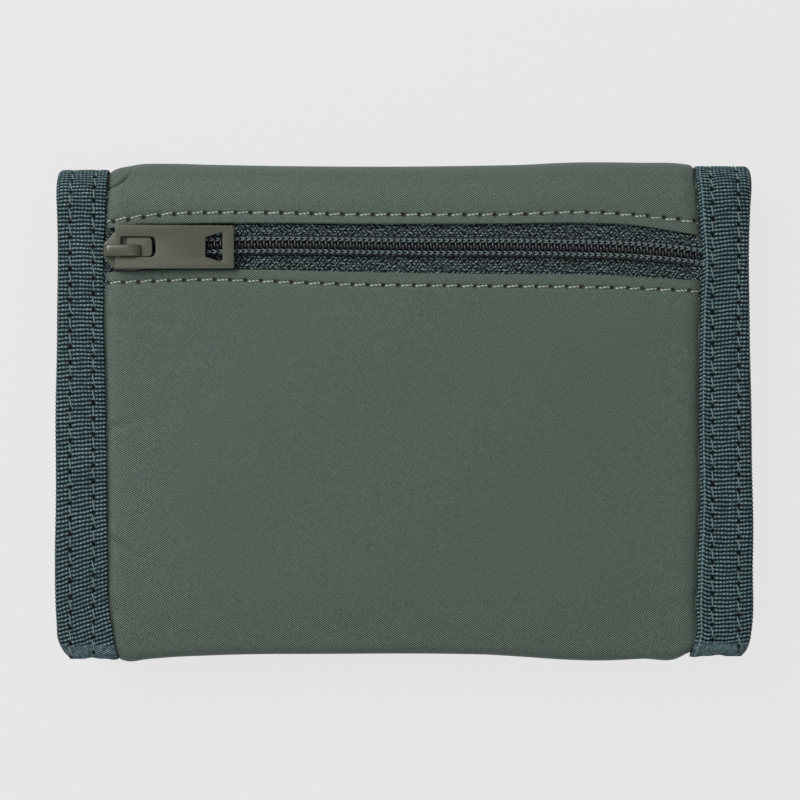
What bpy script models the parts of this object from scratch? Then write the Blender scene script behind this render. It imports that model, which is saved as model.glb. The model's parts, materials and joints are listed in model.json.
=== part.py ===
"""A nylon bifold wallet, closed, lying on its front cover with the zipped coin pocket on top.

Frame: metres, +Z up, origin at the middle of the footprint on the surface it lies on.
X runs along the fold, +Y points at the spine and -Y at the free edges.
The wallet is two flat panels joined by a rounded spine, all bound along both sides with a folded tape.

Every layer is placed on the outer skin by two coordinates: the run s along the skin, from the front
panel's free edge round the spine to the back panel's free edge, and the depth n below the skin.
"""

import math

import bmesh
import bpy
from mathutils import Vector

MM = 0.001

# Driving dimensions
WIDTH = 140 * MM
HEIGHT = 100 * MM
THICKNESS = 17 * MM
OPEN_GAP = 0.3 * MM

# The fold
SPINE_R = THICKNESS / 2
SPINE_Y = HEIGHT / 2 - SPINE_R
PANEL_RUN = HEIGHT - SPINE_R
SPINE_RUN = math.pi * SPINE_R
FULL_RUN = 2 * PANEL_RUN + SPINE_RUN
FRONT_END = PANEL_RUN + SPINE_RUN / 4
BACK_START = PANEL_RUN + SPINE_RUN * 3 / 4

# Cloth layers
SHELL_T = 0.8 * MM
LINING_T = 0.3 * MM
PADDING_T = 1.5 * MM
FREE_EDGE_CURL = 3 * MM

# Binding tape, folded over the side edges
BINDING_W = 10 * MM
BINDING_T = 0.7 * MM
BINDING_END_INSET = 0.3 * MM
BOUND_EDGE_T = 3.4 * MM
SHELL_IN_BINDING = BINDING_T + OPEN_GAP
LINING_IN_BINDING = SHELL_IN_BINDING + SHELL_T + OPEN_GAP
BINDING_INNER_X = WIDTH / 2 - BINDING_W
JOG_OUT_X = BINDING_INNER_X - 0.6 * MM
JOG_X = JOG_OUT_X - 1.2 * MM
LAYER_EDGE_X = WIDTH / 2 - BINDING_T - OPEN_GAP - 0.4 * MM

# Depths of the flat layers of each panel, from the skin inwards
PADDING_N = 1.1 * MM
FRONT_LINING_N = 2.9 * MM
FRONT_BACKING_N = 3.9 * MM
FRONT_POCKET_N = 4.5 * MM
POCKET_STEP = 0.6 * MM
COIN_FRONT_N = 1.8 * MM
COIN_BACK_N = 3.1 * MM
BACK_PADDING_N = 3.7 * MM
BACK_LINING_N = 5.5 * MM
BACK_BACKING_N = 6.5 * MM
BACK_POCKET_N = 7.1 * MM

# Card pockets, mouths towards the spine, each lower than the one behind it
INNER_X = 57.5 * MM
INNER_LOW_Y = -46 * MM
INNER_TOP_Y = 40 * MM
BACK_BACKING_TOP_Y = 26 * MM
FRONT_MOUTHS_Y = {"rear": 34 * MM, "middle": 22 * MM, "front": 10 * MM}
BACK_MOUTHS_Y = {"rear": 20 * MM, "front": 6 * MM}

# Hook and loop closure along the free edges
CLOSURE_X = 40 * MM
CLOSURE_Y = (-43 * MM, -27 * MM)
HOOK_T = 1.0 * MM
LOOP_T = 1.1 * MM

# Zip, a number 3 coil chain
ZIP_Y = 32.7 * MM
WINDOW_TOP_Y = 37.9 * MM
WINDOW_LOW_Y = 28.1 * MM
ZIP_TAPE_T = 0.4 * MM
ZIP_TAPE_N = 1.1 * MM
ZIP_TAPE_TOP_Y = 41 * MM
ZIP_TAPE_LOW_Y = 20.5 * MM
ZIP_END_X = 57.6 * MM
COIL_GAP = 0.6 * MM
COIL_W = 1.6 * MM
COIL_Z = (16.0 * MM, 17.4 * MM)
COIL_BEVEL = 0.35 * MM

# Slider and pull tab
NOSE_X = -60.3 * MM
SLIDER_L = 9.6 * MM
SLIDER_W = 8.0 * MM
SLIDER_NOSE_W = 3.8 * MM
SLIDER_TAIL_W = 5.6 * MM
SHOULDER_AT = 2.6 * MM
SHOULDER_L = 0.8 * MM
NOSE_CORNER = (0.3 * MM, 0.4 * MM)
PLATE_ROUNDING = 0.12 * MM
WALL_OVERLAP = 0.2 * MM
NECK_INSET = 0.6 * MM
LOWER_PLATE_Z = (14.5 * MM, 15.2 * MM)
UPPER_PLATE_Z = (17.65 * MM, 18.3 * MM)
FLANGE_T = 0.7 * MM
FLANGE_Z = 16.3 * MM
FLANGE_INSETS = (0.4 * MM, 0.8 * MM)
FLANGE_OUTSET = 0.3 * MM
NECK_W = 0.6 * MM
NECK_L = 2.2 * MM
BRIDGE_W = 2.7 * MM
BRIDGE_OFF_CENTRE = -0.2 * MM
BRIDGE_TOP_Z = 20.65 * MM
BRIDGE_WALL = 0.78 * MM
BRIDGE_FOOT = 1.1 * MM
BRIDGE_INSET = 0.05 * MM
BRIDGE_OUTER_R = 1.3 * MM
BRIDGE_INNER_R = 0.5 * MM
BRIDGE_ROUNDING = 0.15 * MM
PIVOT_X = -57.25 * MM
PIVOT_Z = 19.12 * MM
PULL_L = 23.8 * MM
PULL_W = 8.9 * MM
PULL_OFF_CENTRE = 0.2 * MM
PULL_T = 1.0 * MM
PULL_BAR = 1.1 * MM
PULL_CORNER_R = 0.5 * MM
PULL_ROUNDING = 0.1 * MM
PULL_WINDOW = (6.9 * MM, 4.2 * MM)
WINDOW_CORNER_R = 0.8 * MM
PULL_HOLE_AT = 17.9 * MM
PULL_HOLE_L = 3.5 * MM
PULL_HOLE_NARROW = 3.8 * MM
PULL_HOLE_WIDE = 6.0 * MM
PULL_TILT_DEG = 2.0

SHELL_GREEN = ("shell_nylon", (0.090, 0.122, 0.100), 0.62, 0.0)
LINING_GREEN = ("lining_nylon", (0.075, 0.098, 0.082), 0.55, 0.0)
TAPE_TEAL = ("binding_tape", (0.042, 0.075, 0.090), 0.80, 0.0)
ZIP_DARK = ("zip_tape", (0.022, 0.034, 0.038), 0.85, 0.0)
COIL_DARK = ("zip_coil", (0.020, 0.028, 0.030), 0.45, 0.0)
FOAM_GREY = ("foam", (0.35, 0.36, 0.34), 0.95, 0.0)
HOOK_GREEN = ("hook_and_loop", (0.060, 0.075, 0.066), 0.9, 0.0)
PAINT_OLIVE = ("slider_paint", (0.105, 0.108, 0.082), 0.45, 0.3)


def clear_scene():
    for obj in list(bpy.data.objects):
        bpy.data.objects.remove(obj, do_unlink=True)


def material(finish):
    """A Principled material for a (name, colour, roughness, metallic) finish, made once."""
    name, colour, roughness, metallic = finish
    found = bpy.data.materials.get(name)
    if found:
        return found
    made = bpy.data.materials.new(name)
    made.use_nodes = True
    shader = made.node_tree.nodes["Principled BSDF"]
    shader.inputs["Base Color"].default_value = (*colour, 1)
    shader.inputs["Roughness"].default_value = roughness
    shader.inputs["Metallic"].default_value = metallic
    return made


def add_object(name, mesh, finish):
    obj = bpy.data.objects.new(name, mesh)
    obj.data.materials.append(material(finish))
    bpy.data.collections["bifold_wallet"].objects.link(obj)
    return obj


def skin_point(s, n):
    """(y, z) of the point at run s along the outer skin and depth n below it."""
    if s <= PANEL_RUN:
        return s - HEIGHT / 2, n
    if s >= PANEL_RUN + SPINE_RUN:
        return SPINE_Y - (s - PANEL_RUN - SPINE_RUN), THICKNESS - n
    turn = (s - PANEL_RUN) / SPINE_R
    r = SPINE_R - n
    return SPINE_Y + r * math.sin(turn), SPINE_R - r * math.cos(turn)


def steps(start, end, count):
    return [start + (end - start) * i / count for i in range(count + 1)]


def grid_object(name, columns, rows, place, thickness, finish):
    """An open grid whose point (i, j) goes to place(columns[i], rows[j]), thickened both ways by Solidify."""
    bm = bmesh.new()
    bmesh.ops.create_grid(bm, x_segments=len(columns) - 1, y_segments=len(rows) - 1, size=0.5)
    for vert in bm.verts:
        i = round((vert.co.x + 0.5) * (len(columns) - 1))
        j = round((vert.co.y + 0.5) * (len(rows) - 1))
        vert.co = place(columns[i], rows[j])
    mesh = bpy.data.meshes.new(name)
    bm.to_mesh(mesh)
    bm.free()
    obj = add_object(name, mesh, finish)
    solidify = obj.modifiers.new("thickness", "SOLIDIFY")
    solidify.thickness = thickness
    solidify.offset = 0
    solidify.use_even_offset = True
    return obj


def box(name, low, high, finish, bevel=0.0):
    """A box between two corners, with its origin at its middle."""
    middle = (Vector(low) + Vector(high)) / 2
    size = Vector(high) - Vector(low)
    bm = bmesh.new()
    bmesh.ops.create_cube(bm, size=1)
    bmesh.ops.scale(bm, vec=size, verts=bm.verts)
    mesh = bpy.data.meshes.new(name)
    bm.to_mesh(mesh)
    bm.free()
    obj = add_object(name, mesh, finish)
    obj.location = middle
    if bevel:
        rounding = obj.modifiers.new("rounded edges", "BEVEL")
        rounding.width = bevel
        rounding.segments = 2
    return obj


def outline_object(name, outlines, thickness, finish, rounding=0.0):
    """A flat piece centred on z = 0, from closed outlines: first its edge, then its holes."""
    curve = bpy.data.curves.new(name, "CURVE")
    curve.dimensions = "2D"
    curve.fill_mode = "BOTH"
    curve.extrude = thickness / 2 - rounding
    curve.bevel_depth = rounding
    curve.bevel_resolution = 1
    curve.offset = -rounding
    for points in outlines:
        spline = curve.splines.new("POLY")
        spline.points.add(len(points) - 1)
        for point, (x, y) in zip(spline.points, points):
            point.co = (x, y, 0, 1)
        spline.use_cyclic_u = True
    guide = bpy.data.objects.new(name + "_outline", curve)
    bpy.data.collections["bifold_wallet"].objects.link(guide)
    bpy.context.view_layer.update()
    graph = bpy.context.evaluated_depsgraph_get()
    mesh = bpy.data.meshes.new_from_object(guide.evaluated_get(graph))
    bpy.data.objects.remove(guide, do_unlink=True)
    mesh.name = name
    mesh.materials.clear()
    bm = bmesh.new()
    bm.from_mesh(mesh)
    bmesh.ops.remove_doubles(bm, verts=bm.verts, dist=0.001 * MM)
    bmesh.ops.recalc_face_normals(bm, faces=bm.faces)
    bm.to_mesh(mesh)
    bm.free()
    return add_object(name, mesh, finish)


def rounded_outline(length, width, radius, corner_steps=3):
    """A rectangle from x = 0 to length, centred on y = 0, with rounded corners, counter-clockwise."""
    points = []
    corners = [(length, width / 2, 0), (0, width / 2, 90), (0, -width / 2, 180), (length, -width / 2, 270)]
    for x, y, start in corners:
        centre_x = x - math.copysign(radius, x - length / 2)
        centre_y = y - math.copysign(radius, y)
        for angle in steps(start, start + 90, corner_steps):
            turn = math.radians(angle)
            points.append((centre_x + radius * math.cos(turn), centre_y + radius * math.sin(turn)))
    return points


def skin_sheet(name, s_stops, x_stops, depth, thickness, finish):
    """A layer of cloth that follows the skin. depth(x, s) is how far its outer face lies below the skin."""

    def place(x, s):
        y, z = skin_point(s, depth(x, s) + thickness / 2)
        return x, y, z

    return grid_object(name, x_stops, s_stops, place, thickness, finish)


def side_jog(x, centre, edge):
    """The depth of a layer: centre across the panel, and edge where the binding grips it."""
    if abs(x) <= JOG_X:
        return centre
    if abs(x) >= JOG_OUT_X:
        return edge
    return centre + (edge - centre) * (abs(x) - JOG_X) / (JOG_OUT_X - JOG_X)


def free_edge_curl(x, s):
    """How far a shell turns in at the wallet's two free edges, in a quarter round, inside the bindings."""
    run = min(s, FULL_RUN - s)
    if run >= FREE_EDGE_CURL or abs(x) > JOG_X:
        return 0.0
    return FREE_EDGE_CURL - math.sqrt(FREE_EDGE_CURL**2 - (FREE_EDGE_CURL - run) ** 2)


def shell_depth(x, s):
    return side_jog(x, 0.0, SHELL_IN_BINDING) + free_edge_curl(x, s)


LAYER_X_STOPS = [
    -LAYER_EDGE_X,
    -JOG_OUT_X,
    -JOG_X,
    JOG_X,
    JOG_OUT_X,
    LAYER_EDGE_X,
]
CURL_STOPS = [0.35 * MM, 0.9 * MM, 1.8 * MM, FREE_EDGE_CURL]
SPINE_STOPS = steps(FRONT_END + OPEN_GAP, BACK_START - OPEN_GAP, 8)


def run_of(y):
    """The run s of a line on the back panel's flat part, from its y."""
    return FULL_RUN - (y + HEIGHT / 2)


def make_shells():
    front = CURL_STOPS + steps(PANEL_RUN, FRONT_END, 4)
    skin_sheet("front_shell", front, LAYER_X_STOPS, shell_depth, SHELL_T, SHELL_GREEN)
    skin_sheet("spine_shell", SPINE_STOPS, LAYER_X_STOPS, shell_depth, SHELL_T, SHELL_GREEN)
    yoke = steps(BACK_START, PANEL_RUN + SPINE_RUN, 4) + [run_of(WINDOW_TOP_Y)]
    skin_sheet("back_shell_yoke", yoke, LAYER_X_STOPS, shell_depth, SHELL_T, SHELL_GREEN)
    face = [run_of(WINDOW_LOW_Y)] + [FULL_RUN - s for s in reversed(CURL_STOPS)]
    skin_sheet("back_shell_face", face, LAYER_X_STOPS, shell_depth, SHELL_T, SHELL_GREEN)


def make_bindings():
    """Folded tape over both side edges, a U in section, in three lengths that meet at the fold lines."""
    lengths = {
        "front": [BINDING_END_INSET] + steps(PANEL_RUN, FRONT_END, 4),
        "spine": SPINE_STOPS,
        "back": steps(BACK_START, PANEL_RUN + SPINE_RUN, 4) + [FULL_RUN - BINDING_END_INSET],
    }
    bend_r = (BOUND_EDGE_T - BINDING_T) / 2
    bend_x = WIDTH / 2 - BINDING_T / 2 - bend_r
    bend = [math.radians(angle) for angle in steps(-90, 90, 6)]
    section = [(BINDING_INNER_X, BINDING_T / 2)]
    section += [(bend_x + bend_r * math.cos(a), BOUND_EDGE_T / 2 + bend_r * math.sin(a)) for a in bend]
    section += [(BINDING_INNER_X, BOUND_EDGE_T - BINDING_T / 2)]
    for side, sign in (("left", -1), ("right", 1)):
        for panel, s_stops in lengths.items():

            def place(point, s, sign=sign):
                y, z = skin_point(s, point[1])
                return sign * point[0], y, z

            grid_object(f"{panel}_binding_{side}", section, s_stops, place, BINDING_T, TAPE_TEAL)


def layer_box(name, panel, y_low, y_high, depth, thickness, finish, half_x=INNER_X):
    """A flat layer inside the front or the back panel, at a depth below that panel's skin."""
    low_z, high_z = depth, depth + thickness
    if panel == "back":
        low_z, high_z = THICKNESS - high_z, THICKNESS - low_z
    return box(name, (-half_x, y_low, low_z), (half_x, y_high, high_z), finish)


def make_note_pocket_walls():
    """The inner wall of the note pocket: a sheet in each panel and one round the inside of the spine."""

    def front_depth(x, s):
        return side_jog(x, FRONT_BACKING_N, LINING_IN_BINDING)

    def back_depth(x, s):
        return side_jog(x, BACK_BACKING_N, LINING_IN_BINDING)

    def spine_depth(x, s):
        return LINING_IN_BINDING

    front = [INNER_LOW_Y + HEIGHT / 2, INNER_TOP_Y + HEIGHT / 2]
    skin_sheet("front_card_backing", front, LAYER_X_STOPS, front_depth, LINING_T, LINING_GREEN)
    back = [run_of(BACK_BACKING_TOP_Y), run_of(INNER_LOW_Y)]
    skin_sheet("back_card_backing", back, LAYER_X_STOPS, back_depth, LINING_T, LINING_GREEN)
    spine_x = [-LAYER_EDGE_X, LAYER_EDGE_X]
    skin_sheet("spine_lining", SPINE_STOPS, spine_x, spine_depth, LINING_T, LINING_GREEN)


def make_flat_layers():
    layer_box("front_padding", "front", INNER_LOW_Y, INNER_TOP_Y, PADDING_N, PADDING_T, FOAM_GREY)
    layer_box("front_lining", "front", INNER_LOW_Y, INNER_TOP_Y, FRONT_LINING_N, LINING_T, LINING_GREEN)
    layer_box("coin_pocket_front", "back", INNER_LOW_Y, ZIP_TAPE_LOW_Y, COIN_FRONT_N, LINING_T, LINING_GREEN)
    layer_box("coin_pocket_back", "back", INNER_LOW_Y, INNER_TOP_Y, COIN_BACK_N, LINING_T, LINING_GREEN)
    layer_box("back_padding", "back", INNER_LOW_Y, INNER_TOP_Y, BACK_PADDING_N, PADDING_T, FOAM_GREY)
    layer_box("back_lining", "back", INNER_LOW_Y, INNER_TOP_Y, BACK_LINING_N, LINING_T, LINING_GREEN)


def make_card_pockets():
    rows = (("front", FRONT_MOUTHS_Y, FRONT_POCKET_N), ("back", BACK_MOUTHS_Y, BACK_POCKET_N))
    for panel, mouths, first_depth in rows:
        for i, (tier, mouth_y) in enumerate(mouths.items()):
            name = f"{panel}_card_pocket_{tier}"
            depth = first_depth + i * POCKET_STEP
            layer_box(name, panel, INNER_LOW_Y, mouth_y, depth, LINING_T, LINING_GREEN)


def make_closure():
    hook_low = FRONT_POCKET_N + 2 * POCKET_STEP + LINING_T + OPEN_GAP
    low_y, high_y = CLOSURE_Y
    box("hook_strip", (-CLOSURE_X, low_y, hook_low), (CLOSURE_X, high_y, hook_low + HOOK_T), HOOK_GREEN)
    loop_high = THICKNESS - (BACK_POCKET_N + POCKET_STEP + LINING_T + OPEN_GAP)
    box("loop_strip", (-CLOSURE_X, low_y, loop_high - LOOP_T), (CLOSURE_X, high_y, loop_high), HOOK_GREEN)


def make_zip():
    tape_high = THICKNESS - ZIP_TAPE_N
    tape_low = tape_high - ZIP_TAPE_T
    for name, y_in, y_out in (
        ("zip_tape_upper", ZIP_Y + COIL_GAP, ZIP_TAPE_TOP_Y),
        ("zip_tape_lower", ZIP_Y - COIL_GAP, ZIP_TAPE_LOW_Y),
    ):
        low = (-ZIP_END_X, min(y_in, y_out), tape_low)
        high = (ZIP_END_X, max(y_in, y_out), tape_high)
        box(name, low, high, ZIP_DARK)
    for name, sign in (("zip_coil_upper", 1), ("zip_coil_lower", -1)):
        edges = sorted((ZIP_Y + sign * COIL_GAP, ZIP_Y + sign * (COIL_GAP + COIL_W)))
        low = (-ZIP_END_X, edges[0], COIL_Z[0])
        high = (ZIP_END_X, edges[1], COIL_Z[1])
        box(name, low, high, COIL_DARK, bevel=COIL_BEVEL)


def slider_plate(name, z_range):
    """One wing of the slider: a shield, narrow at the nose and widest at the shoulders."""
    half = [
        (SLIDER_L, SLIDER_TAIL_W / 2),
        (SHOULDER_AT + SHOULDER_L, SLIDER_W / 2),
        (SHOULDER_AT, SLIDER_W / 2),
        (NOSE_CORNER[0], SLIDER_NOSE_W / 2),
        (0, SLIDER_NOSE_W / 2 - NOSE_CORNER[1]),
    ]
    points = half + [(x, -y) for x, y in reversed(half)]
    plate = outline_object(name, [points], z_range[1] - z_range[0], PAINT_OLIVE, rounding=PLATE_ROUNDING)
    plate.location = (NOSE_X, ZIP_Y, (z_range[0] + z_range[1]) / 2)
    return plate


def make_slider():
    """The slider body, one casting: two wings, the neck between them and the upper wing's flanges."""
    body = slider_plate("slider_body", UPPER_PLATE_Z)
    parts = [slider_plate("slider_lower_wing", LOWER_PLATE_Z)]
    neck_x = NOSE_X + NECK_INSET
    neck_low = (neck_x, ZIP_Y - NECK_W / 2, LOWER_PLATE_Z[1] - WALL_OVERLAP)
    neck_high = (neck_x + NECK_L, ZIP_Y + NECK_W / 2, UPPER_PLATE_Z[0] + WALL_OVERLAP)
    parts.append(box("slider_neck", neck_low, neck_high, PAINT_OLIVE))
    flange_x = (NOSE_X + SHOULDER_AT + FLANGE_INSETS[0], NOSE_X + SLIDER_L - FLANGE_INSETS[1])
    flange_y = SLIDER_TAIL_W / 2 + FLANGE_OUTSET
    for sign in (-1, 1):
        edges = sorted((ZIP_Y + sign * flange_y, ZIP_Y + sign * (flange_y - FLANGE_T)))
        low = (flange_x[0], edges[0], FLANGE_Z)
        high = (flange_x[1], edges[1], UPPER_PLATE_Z[0] + WALL_OVERLAP)
        parts.append(box(f"slider_flange_{sign}", low, high, PAINT_OLIVE))
    cutters = bpy.data.collections["cutters"]
    for part in parts:
        bpy.data.collections["bifold_wallet"].objects.unlink(part)
        cutters.objects.link(part)
        part.hide_render = True
        part.display_type = "WIRE"
        join = body.modifiers.new("join " + part.name, "BOOLEAN")
        join.operation = "UNION"
        join.object = part


def arc(x, z, radius, turns):
    """Points round a centre, at turns given in radians."""
    return [(x + radius * math.cos(a), z + radius * math.sin(a)) for a in turns]


def make_bridge():
    """The crown over the slider, an arch that holds the pull tab's bar. Its outline is drawn in side view."""
    rise = BRIDGE_TOP_Z - UPPER_PLATE_Z[1] - BRIDGE_INSET
    length = SLIDER_L - 2 * BRIDGE_INSET
    front_turn = [math.radians(a) for a in steps(180, 90, 4)]
    rear_turn = [math.radians(a) for a in steps(90, 0, 4)]
    outer = arc(BRIDGE_OUTER_R, rise - BRIDGE_OUTER_R, BRIDGE_OUTER_R, front_turn)
    outer += arc(length - BRIDGE_OUTER_R, rise - BRIDGE_OUTER_R, BRIDGE_OUTER_R, rear_turn)
    inner_low = BRIDGE_FOOT
    inner_high = length - BRIDGE_FOOT
    inner_z = rise - BRIDGE_WALL - BRIDGE_INNER_R
    inner = arc(inner_high - BRIDGE_INNER_R, inner_z, BRIDGE_INNER_R, reversed(rear_turn))
    inner += arc(inner_low + BRIDGE_INNER_R, inner_z, BRIDGE_INNER_R, reversed(front_turn))
    outline = [(0, 0)] + outer + [(length, 0), (inner_high, 0)] + inner + [(inner_low, 0)]
    bridge = outline_object("slider_bridge", [outline], BRIDGE_W, PAINT_OLIVE, rounding=BRIDGE_ROUNDING)
    bridge.rotation_euler = (math.radians(90), 0, 0)
    bridge.location = (
        NOSE_X + BRIDGE_INSET,
        ZIP_Y + BRIDGE_OFF_CENTRE,
        UPPER_PLATE_Z[1] + BRIDGE_INSET,
    )


def make_pull_tab():
    """The flat tab. Its origin is on the pivot, in the middle of the bar that the bridge holds."""
    edge = [(x - PULL_BAR / 2, y) for x, y in rounded_outline(PULL_L, PULL_W, PULL_CORNER_R)]
    window_l, window_w = PULL_WINDOW
    window = [(x + PULL_BAR / 2, y) for x, y in rounded_outline(window_l, window_w, WINDOW_CORNER_R)]
    hole_x = PULL_HOLE_AT - PULL_BAR / 2
    hole = [
        (hole_x, -PULL_HOLE_NARROW / 2),
        (hole_x + PULL_HOLE_L, -PULL_HOLE_WIDE / 2),
        (hole_x + PULL_HOLE_L, PULL_HOLE_WIDE / 2),
        (hole_x, PULL_HOLE_NARROW / 2),
    ]
    tab = outline_object("pull_tab", [edge, window, hole], PULL_T, PAINT_OLIVE, rounding=PULL_ROUNDING)
    tab.location = (PIVOT_X, ZIP_Y + PULL_OFF_CENTRE, PIVOT_Z)
    tab.rotation_euler = (0, math.radians(PULL_TILT_DEG), 0)


def main():
    clear_scene()
    for name in ("bifold_wallet", "cutters"):
        collection = bpy.data.collections.get(name) or bpy.data.collections.new(name)
        if name not in bpy.context.scene.collection.children:
            bpy.context.scene.collection.children.link(collection)
    make_shells()
    make_bindings()
    make_note_pocket_walls()
    make_flat_layers()
    make_card_pockets()
    make_closure()
    make_zip()
    make_slider()
    make_bridge()
    make_pull_tab()


main()
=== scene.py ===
"""The looks of a closed nylon bifold wallet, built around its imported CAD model.

Lengths inside this script are in millimetres and become metres when a mesh is made.
A point on the wallet is given by x, by the run s along the outer skin (from the front panel's free edge
round the spine to the back panel's free edge) and by the depth n below the CAD model's skin.
"""

import json
import math

import bpy
import numpy as np
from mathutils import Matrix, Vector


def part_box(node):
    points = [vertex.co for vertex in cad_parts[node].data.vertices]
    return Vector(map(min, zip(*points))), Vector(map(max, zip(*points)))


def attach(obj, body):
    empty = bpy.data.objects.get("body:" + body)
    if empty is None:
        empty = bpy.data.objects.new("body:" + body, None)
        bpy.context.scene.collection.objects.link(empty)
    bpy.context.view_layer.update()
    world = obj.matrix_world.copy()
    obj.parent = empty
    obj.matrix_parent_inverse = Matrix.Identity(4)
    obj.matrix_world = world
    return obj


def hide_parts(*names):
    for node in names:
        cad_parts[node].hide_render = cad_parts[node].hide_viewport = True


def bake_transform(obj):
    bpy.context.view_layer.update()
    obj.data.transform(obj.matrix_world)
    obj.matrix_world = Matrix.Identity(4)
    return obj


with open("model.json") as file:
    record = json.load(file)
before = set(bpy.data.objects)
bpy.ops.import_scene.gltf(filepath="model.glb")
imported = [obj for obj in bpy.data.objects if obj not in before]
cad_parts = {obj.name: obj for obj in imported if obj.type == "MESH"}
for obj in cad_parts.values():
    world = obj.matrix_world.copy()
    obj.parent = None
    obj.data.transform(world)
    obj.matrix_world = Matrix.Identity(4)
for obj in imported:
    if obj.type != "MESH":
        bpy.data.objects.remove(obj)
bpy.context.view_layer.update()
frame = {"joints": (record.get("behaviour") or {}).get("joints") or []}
MM = 0.001
RANDOM = np.random.default_rng(7)


def node_box(name):
    """The lowest and the highest corner of a CAD node, in millimetres."""
    low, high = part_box(name)
    return np.array(low) / MM, np.array(high) / MM


# The wallet's size, from the frame
HALF_H = node_box("spine_shell")[1][1]
THICK = node_box("back_binding_right")[1][2]
SPINE_R = THICK / 2
SPINE_Y = HALF_H - SPINE_R
PANEL_RUN = 2 * HALF_H - SPINE_R
SPINE_RUN = math.pi * SPINE_R
FULL_RUN = 2 * PANEL_RUN + SPINE_RUN
MID_RUN = FULL_RUN / 2

# Binding tape
TAPE_T = 0.5
TAPE_DEPTH = 0.55
BOUND_EDGE_T = 3.3
SPINE_THINNING = 1.3
RIB_PITCH = 0.815
RIB_HEIGHT = 0.13
RIB_STEPS = 6
TAPE_STITCH_PITCH = 3.15
TAPE_STITCH_SHOWN = 0.74
THREAD_R = 0.13
TAPE_STITCH_X = {"left": (62.5, 67.2), "right": (62.3, 67.6)}
TAPE_END_Y = {"left": -50.15, "right": -49.6}
TAPE_SPINE_DEPTH = {"left": 0.75, "right": 0.0}
TAPE_END_R = 2.3
SELVEDGE_KINK = {"left": 0.0, "right": 0.4}
SELVEDGE_CORD_X = 0.85

# Cover cloth
HEM_R = 0.3
HEM_W = 4.5
EDGE_SHOULDER = 3.0
EDGE_GAP = 0.3
FREE_EDGE_R = 2.5
PRESSED_EDGE_R = 0.8
CROWN = 0.45
EDGE_FALL = 1.2
ZIP_STITCH_PITCH = 3.08

SIDES = {"left": -1, "right": 1}


def through(points):
    """A smooth curve y(x) through a few (x, y) points."""
    xs, ys = np.array(points, float).T
    slopes = np.gradient(ys, xs)

    def curve(x):
        x = np.clip(x, xs[0], xs[-1])
        i = np.clip(np.searchsorted(xs, x) - 1, 0, len(xs) - 2)
        step = xs[i + 1] - xs[i]
        t = (x - xs[i]) / step
        rise = ys[i] * (2 * t**3 - 3 * t**2 + 1) + ys[i + 1] * (3 * t**2 - 2 * t**3)
        return rise + step * (slopes[i] * (t**3 - 2 * t**2 + t) + slopes[i + 1] * (t**3 - t**2))

    return curve


# Edges and seams, as lines over the closed wallet
TAPE_INNER_X = {
    "left": through([(-50, 57.7), (-47.5, 58.3), (-43.5, 58.9), (-39.5, 59.5), (-30, 59.7), (0, 60.1),
                     (31, 60.5), (39, 60.2), (44, 60.0), (48.5, 60.1), (55, 60.5)]),
    "right": through([(-50, 57.8), (-47.5, 58.6), (-46, 59.0), (-40, 59.15), (-30, 59.4), (-20, 59.8),
                      (0, 59.6), (20, 59.9), (32, 60.3), (39.4, 59.7), (45.3, 59.4), (48, 59.3),
                      (55, 59.8)]),
}
TAPE_OUTER_X = {
    "left": through([(-50, 67.6), (-48.5, 68.8), (-46.5, 69.8), (-43, 70.2), (-18, 70.35), (6, 70.3),
                     (30, 70.0), (45, 70.2), (50, 70.3), (55, 70.5)]),
    "right": through([(-50, 68.0), (-48.6, 69.2), (-46.8, 70.0), (-44.7, 70.4), (-30, 70.75), (0, 70.35),
                      (10, 70.25), (30, 69.95), (44, 70.3), (48, 70.5), (55, 70.6)]),
}
RIB_SLANT = {
    "left": through([(-50, 0.30), (-38, 0.33), (-12, 0.12), (15, 0.02), (55, 0.0)]),
    "right": through([(-50, -0.05), (-30, 0.0), (0, -0.08), (35, -0.1), (55, -0.05)]),
}
RIB_BOW = {
    "left": through([(-50, 0.1), (0, -0.15), (35, -0.2), (55, -0.1)]),
    "right": through([(-50, 0.45), (-35, 0.3), (0, -0.1), (35, -0.35), (55, -0.35)]),
}
TOP_OUTLINE = through([(-60, 49.6), (-57, 50.0), (-54, 50.5), (-48, 50.65), (-40, 50.45), (-30, 50.25),
                       (16, 50.25), (25, 50.45), (33, 50.85), (49, 50.85), (56.5, 50.7), (60, 50.2)])
BOTTOM_OUTLINE = through([(-60, -48.9), (-58.6, -49.6), (-57.2, -50.5), (-56, -50.8), (-52, -50.4),
                          (-48, -50.05), (-40, -49.65), (-32, -49.4), (-16, -49.3), (10, -49.3),
                          (17, -49.45), (24.5, -49.9), (32.5, -50.45), (40.6, -50.65), (48.6, -50.3),
                          (55.5, -50.2), (57.5, -49.2), (60, -48.1)])
WINDOW_TOP = through([(-62, 36.3), (-59.5, 36.7), (-57, 37.1), (-54, 37.5), (-48, 37.6), (-33, 37.8),
                      (-6, 37.65), (20, 37.7), (38, 37.8), (44, 37.6), (50, 36.9), (55, 36.1), (60, 35.3),
                      (62, 35.0)])
WINDOW_LOW = through([(-62, 27.7), (-59, 28.0), (-52, 28.4), (-33, 28.5), (-6, 27.9), (20, 27.6),
                      (39, 27.45), (50, 26.85), (60, 26.3), (62, 26.2)])
STITCH_TOP = through([(-60, 38.1), (-55, 39.0), (-48, 39.7), (-33, 39.9), (-6, 39.5), (20, 39.6),
                      (38, 39.9), (46, 39.4), (53, 38.7), (60, 37.9)])
STITCH_LOW = through([(-60, 25.8), (-48, 26.3), (-40, 26.4), (-33, 26.2), (-6, 25.3), (20, 25.1),
                      (32, 24.95), (47, 24.65), (60, 24.0)])
COIL_Y = through([(-62, 32.4), (-50, 32.9), (-33, 33.4), (0, 33.1), (31.5, 32.85), (46.8, 32.35), (54, 31.75),
                  (60, 31.1), (62, 31.0)])


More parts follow.
